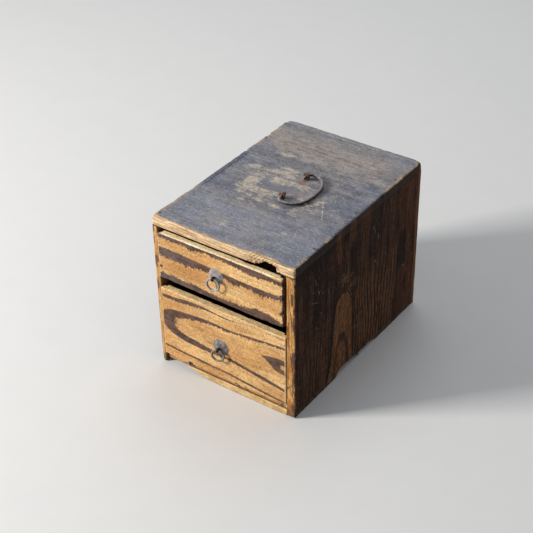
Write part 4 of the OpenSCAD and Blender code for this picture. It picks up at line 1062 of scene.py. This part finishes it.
class OiledFront(Finish):
    """The finish of a drawer front: honey pine, ragged dark bands, and what wear has done to it."""

    def __init__(self, name, seed):
        super().__init__(name)
        self.across = self.x - lid_low.x
        self.fibre = self.cloud((22, 0.8, 0.6), 4.0, 0.62, seed)
        self.mottle = self.cloud((13, 9, 7), 5.0, 0.66, seed + 4)
        self.drip = self.cloud((3.2, 4, 4.2), 5.0, 0.74, seed + 6)
        self.grain = self.cloud((1.4, 1.4, 1.15), 4.0, 0.7, seed + 8)
        self.pores = self.cloud((1.3, 1.6, 1.1), 2.0, 0.5, seed + 10)
        slow = self.cloud((60, 20, 14), 3.0, 0.55, seed + 2)
        self.colour = self.mix(slow.rise(0.38, 0.62), dye(208, 156, 96), dye(232, 188, 128))
        orange = self.across + slow.about(120) + self.mottle.about(50)
        self.paint(orange.rise(80, 10) * 0.55, dye(204, 148, 86))
        self.paint(self.fibre.rise(0.52, 0.66) * 0.28, dye(166, 112, 62))
        self.paint(self.fibre.rise(0.47, 0.34) * 0.3, dye(246, 210, 150))
        rings = growth_lines(self, self.z, (160, 60, 40), 6.5, seed + 12)
        self.paint(rings * self.mottle * 0.3, dye(166, 112, 64))
        self.shade(-0.45 + self.mottle * 0.9 + self.grain * 2.0)
        self.bands = None

    def band(self, foot, top, foot_rag, top_rag, soft=0.35):
        """1 between two lines of the grain. The ragged edges hang in drips of a size in mm."""
        foot_grain = self.grain.about(foot_rag * 0.35)
        low = self.trace(self.across, foot) + self.drip.about(foot_rag) + foot_grain
        high = self.trace(self.across, top) + self.drip.about(top_rag) + self.grain.about(0.6)
        return self.z.within(low, high, soft)

    def add_band(self, share):
        self.bands = share if self.bands is None else self.bands.most(share)

    def smears(self, marks, rag):
        """1 on strokes over the front, bent and torn by rag."""
        return self.strokes(self.across, self.z, marks, self.drip.about(rag))

    def dabs(self, places, rag):
        """Hills over patches of the front, with rims that wander by rag."""
        return self.patches(self.across, self.z, places) + self.drip.about(rag)

    def brown(self, places, amount, tone):
        """Darker wood in wide soft patches, beside the bands."""
        soft = self.patches(self.across, self.z, places) + self.mottle.about(1)
        self.paint(soft.rise(0.2, 0.9) * (1 - self.bands) * amount, tone)

    def darken_bands(self):
        """Late wood of the bands: purple brown, worn lighter in places and through in specks."""
        dark = self.mix(self.mottle.rise(0.42, 0.58), dye(68, 51, 49), dye(102, 76, 67))
        dark = self.mix(self.drip.rise(0.54, 0.66) * 0.45, dark, dye(140, 112, 98))
        dark = self.shaded(dark, 0.2 + self.grain * 1.6)
        worn = (self.drip + self.mottle.about(0.3)).rise(0.66, 0.74)
        self.paint(self.bands * (0.96 - worn * 0.6), dark)

    def end(self, low, high, seed, arris, right_tone):
        """Ends the finish: the rubbed edges, the top arris in the arris tones, which may carry a painted
        highlight, the right end in right_tone, which may be painted shade, the pores and the bare back of
        a front.
        """
        rag = self.cloud((7, 3, 4), 4.0, 0.65, seed + 20)
        pale = self.mix(rag.rise(0.36, 0.62), dye(214, 176, 122), dye(244, 214, 162))
        pale = self.shaded(pale, 0.2 + self.grain * 1.6)
        top = (self.z + rag.about(2.2)).rise(high.z - 1.6, high.z - 0.7)
        right = (self.x + rag.about(3)).rise(high.x - 2.0, high.x - 0.6)
        left = (self.x + rag.about(2)).rise(low.x + 1.4, low.x + 0.5) * 0.7
        self.paint(left, pale)
        self.paint(right * 0.85, self.shaded(right_tone, 0.2 + self.grain * 1.6))
        # The top arris: rubbed pale wood, on the upper front brightened further as a painted highlight
        rubbed_and_lit_top = self.mix(rag.rise(0.36, 0.62), *arris)
        self.paint(top, self.shaded(rubbed_and_lit_top, 0.2 + self.grain * 1.6))
        self.paint(self.pores.rise(0.63, 0.7) * 0.7, dye(118, 78, 48))
        self.paint(self.pores.rise(0.36, 0.29) * 0.55 * (1 - self.bands), dye(250, 226, 178))
        bare, _ = raw_wood(
            self, self.z, (55, 55, 0.8), 7.0, dye(122, 90, 60), dye(86, 62, 42), seed + 24)
        behind_face = (self.y - low.y).rise(2.6, 3.8)
        self.paint(behind_face * (self.z - high.z + 0.8).rise(0.2, -0.2), bare)
        relief = self.fibre * 0.25 + self.grain * 0.2 + self.bands * 0.15 + rag * 0.15
        relief = relief - self.pores.rise(0.66, 0.74) * 0.35
        self.surface(0.62 + self.mottle * 0.2 + self.bands * 0.08, relief)


upper_pine = OiledFront("oiled_pine_upper", 101.0)
across, up = upper_pine.across, upper_pine.z
upper_pine.add_band(upper_pine.band(BAND_1_FOOT, BAND_1_TOP, 11, 2.4))
upper_pine.add_band(upper_pine.band(BAND_2_FOOT, BAND_2_TOP, 15, 2.4))
upper_pine.add_band(upper_pine.band(BAND_3_FOOT, BAND_3_TOP, 0, 12, 0.8))
upper_pine.darken_bands()
greyed = across.rise(56, 6) * upper_pine.drip.rise(0.36, 0.6)
upper_pine.paint(upper_pine.bands * greyed * 0.7, dye(104, 98, 104))
# Bluish smears at the right end, brown stains, and the dark lower arris
upper_pine.paint(upper_pine.smears([(135, 111, 143, 116, 2.4)], 2) * 0.9, dye(66, 66, 76))
upper_pine.paint(upper_pine.smears([(133, 129, 141, 131, 1.6)], 2) * 0.7, dye(124, 128, 140))
stains = upper_pine.dabs([(3, 116.5, 3.4, 1.8, 1), (3.4, 128, 3, 5, 0.9), (118, 104, 14, 4, 0.7)], 1.6)
upper_pine.paint(stains.rise(0.4, 0.9) * 0.6, dye(118, 90, 76))
upper_pine.brown([(30, 114, 30, 8, 1), (106, 113, 26, 6, 0.4)], 0.45, dye(168, 112, 62))
lower_arris = (up + upper_pine.mottle.about(3)).rise(upper_low.z + 1.2, upper_low.z)
upper_pine.paint(lower_arris * 0.5, dye(72, 54, 44))
# On the upper front the top arris is painted brighter than rubbed wood, a painted highlight, and the right
# end is painted dark, painted shade in the gap beside the post
upper_pine.end(upper_low, upper_high, 101.0, (dye(240, 204, 150), dye(255, 236, 194)), dye(52, 38, 30))
upper_pine.wear_on(upper_front)

lower_pine = OiledFront("oiled_pine_lower", 131.0)
across, up = lower_pine.across, lower_pine.z
loop = lower_pine.band(LOOP_FOOT, LOOP_TOP, 1.8, 1.8)
eye_start = (across + lower_pine.drip.about(9) + lower_pine.mottle.about(6)).rise(16, 23)
eye = lower_pine.band(EYE_FOOT, EYE_TOP, 5.0, 11.0, 0.6)
lower_pine.add_band(loop * (1 - eye * eye_start))
notch_in_flame = across.rise(134.5, 137) * (up + lower_pine.drip.about(3)).within(51.6, 56, 0.8)
flame = lower_pine.band(FLAME_FOOT, FLAME_TOP, 2.0, 1.6) * across.rise(114, 116)
lower_pine.add_band(flame * (1 - notch_in_flame))
high_band = lower_pine.band(HIGH_FOOT, HIGH_TOP, 5.0, 1.8)
lower_pine.add_band(high_band * across.rise(100, 74).most(lower_pine.drip.rise(0.4, 0.6) * 0.6))
lower_pine.add_band(lower_pine.band(LOW_FOOT, LOW_TOP, 2.6, 1.6) * 0.95)
short_band = (up + lower_pine.drip.about(1)).within(83.9, 85.4, 0.3)
lower_pine.add_band(short_band * across.rise(128, 133) * across.rise(141, 137) * 0.6)
lower_pine.darken_bands()
split_top = up - lower_low.z + lower_pine.drip.about(1)
split_face = split_top.rise(STRIP_HEIGHT + 0.8, STRIP_HEIGHT) * across.rise(30, 32)
lower_pine.paint(split_face * 0.75, dye(172, 124, 80))
lower_pine.paint(split_top.rise(1.9, 0.9) * across.rise(30, 32) * 0.7, dye(96, 70, 50))
# Marks at the foot: cracks, grime in the worn corner, the hole of a lost nail, and nail heads
cracks = lower_pine.smears([(9, 11.4, 17, 10.3, 0.7), (112, 9, 118, 9.4, 0.6)], 1.6)
lower_pine.paint(cracks * 0.85, dye(58, 44, 38))
grime = (across.rise(9.6, 8) * up.rise(13.5, 11)).most(
    lower_pine.smears([(19, 6.4, 34, 12.4, 1.7)], 2.4) * 0.7)
dusty_foot = (up + lower_pine.mottle.about(3)).rise(8.2, 6.8) * 0.5
lower_pine.paint(grime.most(dusty_foot) * 0.8, dye(112, 104, 94))
worn_by_ring = lower_pine.dabs(
    [(58, 55.5, 7, 1.0, 0.8), (58, 47, 4.5, 2.0, 1), (46, 52, 10, 10, 0.5)], 1.0)
lower_pine.paint(worn_by_ring.rise(0.35, 0.9) * 0.5, dye(150, 112, 76))
nail_hole = lower_pine.dabs([(34.4, 12.2, 2.6, 1.4, 1), (33.8, 10.3, 2.4, 1.3, 1)], 0.8)
lower_pine.paint(nail_hole.rise(0.35, 0.6) * 0.95, dye(14, 12, 12))
foot_nails = lower_pine.dabs(
    [(87, 11.8, 2.3, 1.2, 1), (96.8, 11.8, 1.2, 1.5, 1), (136.7, 12.1, 1.8, 1.1, 1)], 0.8)
lower_pine.paint(foot_nails.rise(0.3, 0.6) * 0.85, dye(56, 50, 50))
lower_pine.brown([(32, 75.5, 30, 5, 1)], 0.35, dye(172, 118, 68))
lower_pine.end(lower_low, lower_high, 131.0, (dye(214, 176, 120), dye(240, 208, 154)), dye(228, 192, 140))
lower_pine.wear_on(lower_front)

# Pulls
# On each front a domed iron washer, a split pin through it with its legs bent over inside, and
# a ring in the pin's eye. The washers and rings are rubbed grey, and the pins are nearly black.

# The irons keep their own tones where they face this way, towards the light, and are painted darker where
# they face away from it: painted shade
LIT_WAY = (-0.66, -0.62, 0.42)


def pull_iron(name, tones, seed):
    """Grey iron with a brighter rubbed tone, brown specks, and painted shade on the side turned away from
    LIT_WAY.
    """
    dull, bright, brown, shade = (dye(*tone) for tone in tones)
    iron = Finish(name)
    cloud = iron.cloud((3.0, 3.0, 3.0), 4.0, 0.6, seed)
    grit = iron.cloud((0.7, 0.7, 0.7), 4.0, 0.65, seed + 2)
    iron.colour = iron.mix(cloud.rise(0.38, 0.62), dull, bright)
    iron.paint((grit + cloud.about(0.2)).rise(0.56, 0.7) * 0.6, brown)
    # Painted shade on the side turned away from LIT_WAY
    iron.paint(iron.turned_to(LIT_WAY).rise(0.35, -0.35) * 0.75, shade)
    iron.surface(0.55 + grit * 0.34, cloud * 0.25 + grit * 0.15, 0.2, gloss=0.4)
    return iron


# Tones of each piece: dull, bright, brown specks, and the painted shade of the side that faces away
PULL_TONES = {
    "upper_pull_washer": [(136, 124, 120), (176, 170, 168), (122, 102, 90), (120, 100, 94)],
    "lower_pull_washer": [(104, 95, 96), (150, 142, 138), (88, 68, 68), (84, 70, 74)],
    "upper_pull_ring": [(122, 134, 138), (172, 184, 186), (112, 92, 78), (92, 72, 58)],
    "lower_pull_ring": [(112, 108, 102), (158, 154, 146), (110, 84, 64), (82, 62, 50)],
    "upper_pull_pin": [(40, 32, 30), (78, 66, 58), (30, 24, 22), (22, 18, 17)],
    "lower_pull_pin": [(38, 30, 28), (84, 72, 62), (30, 24, 22), (22, 18, 17)]}
PULL_SEEDS = (151.0, 157.0, 163.0, 167.0, 171.0, 173.0)
for (node, tones), seed in zip(PULL_TONES.items(), PULL_SEEDS):
    pull_iron(f"{node}_iron", tones, seed).wear_on(nodes[node])

# Stage, light and camera
# A plain pale floor, a soft window of light from the front left, and the photograph's view.

floor_mesh = bmesh.new()
bmesh.ops.create_grid(floor_mesh, x_segments=1, y_segments=1, size=6)
floor_data = bpy.data.meshes.new("floor")
floor_mesh.to_mesh(floor_data)
floor_mesh.free()
floor = bpy.data.objects.new("floor", floor_data)
bpy.context.scene.collection.objects.link(floor)
ground = Finish("plain_floor")
grain_of_floor = ground.cloud((30, 30, 30), 2.0, 0.5, 200.0)
seen = ground.add("LightPath", out="Is Camera Ray") + ground.add("LightPath", out="Is Glossy Ray")
seen = (seen + ground.add("LightPath", out="Is Transmission Ray")).least(1)
pale_floor = ground.mix(grain_of_floor, dye(222, 221, 219), dye(226, 225, 223))
ground.colour = ground.mix(seen, dye(176, 174, 172), pale_floor)
ground.surface(0.85, grain_of_floor * 0.02, gloss=0.2)
ground.wear_on(floor)

world = bpy.data.worlds.new("studio")
world.use_nodes = True
bpy.context.scene.world = world
background = world.node_tree.nodes["Background"]
background.inputs["Color"].default_value = dye(222, 226, 232)
background.inputs["Strength"].default_value = 0.42


def softbox(name, place, size, watts, colour):
    """A square area lamp at a place in metres that faces the chest."""
    lamp = bpy.data.lights.new(name, "AREA")
    lamp.size, lamp.energy, lamp.color = size, watts, colour
    holder = bpy.data.objects.new(name, lamp)
    holder.location = place
    holder.rotation_mode = "QUATERNION"
    holder.rotation_quaternion = (Vector((0, 0, 0.08)) - Vector(place)).to_track_quat("-Z", "Y")
    bpy.context.scene.collection.objects.link(holder)


softbox("window", (-1.28, -1.28, 0.98), 0.4, 43, (1.0, 0.98, 0.95))
softbox("sky", (-0.3, 0.9, 1.7), 1.2, 8, (0.95, 0.97, 1.0))

AZIMUTH, ELEVATION, ROLL = (math.radians(a) for a in (35.60, 34.79, -1.006))
SENSOR, LENS = 36, 85.78
DISTANCE, AIM = 1.1945, Vector((-0.01797, -0.01574, 0.07756))
flat_out = math.cos(ELEVATION)
backward = Vector((math.sin(AZIMUTH) * flat_out, -math.cos(AZIMUTH) * flat_out, math.sin(ELEVATION)))
level = Vector((math.cos(AZIMUTH), math.sin(AZIMUTH), 0))
upward = backward.cross(level)
right = level * math.cos(ROLL) + upward * math.sin(ROLL)
tilted = upward * math.cos(ROLL) - level * math.sin(ROLL)
turned = Matrix((right, tilted, backward)).transposed().to_4x4()
camera = bpy.data.objects.new("camera", bpy.data.cameras.new("camera"))
camera.data.sensor_width, camera.data.lens = SENSOR, LENS
camera.data.clip_start, camera.data.clip_end = 0.05, 30
camera.matrix_world = Matrix.Translation(AIM + backward * DISTANCE) @ turned
bpy.context.scene.collection.objects.link(camera)
bpy.context.scene.camera = camera
bpy.context.scene.view_settings.view_transform = "Standard"
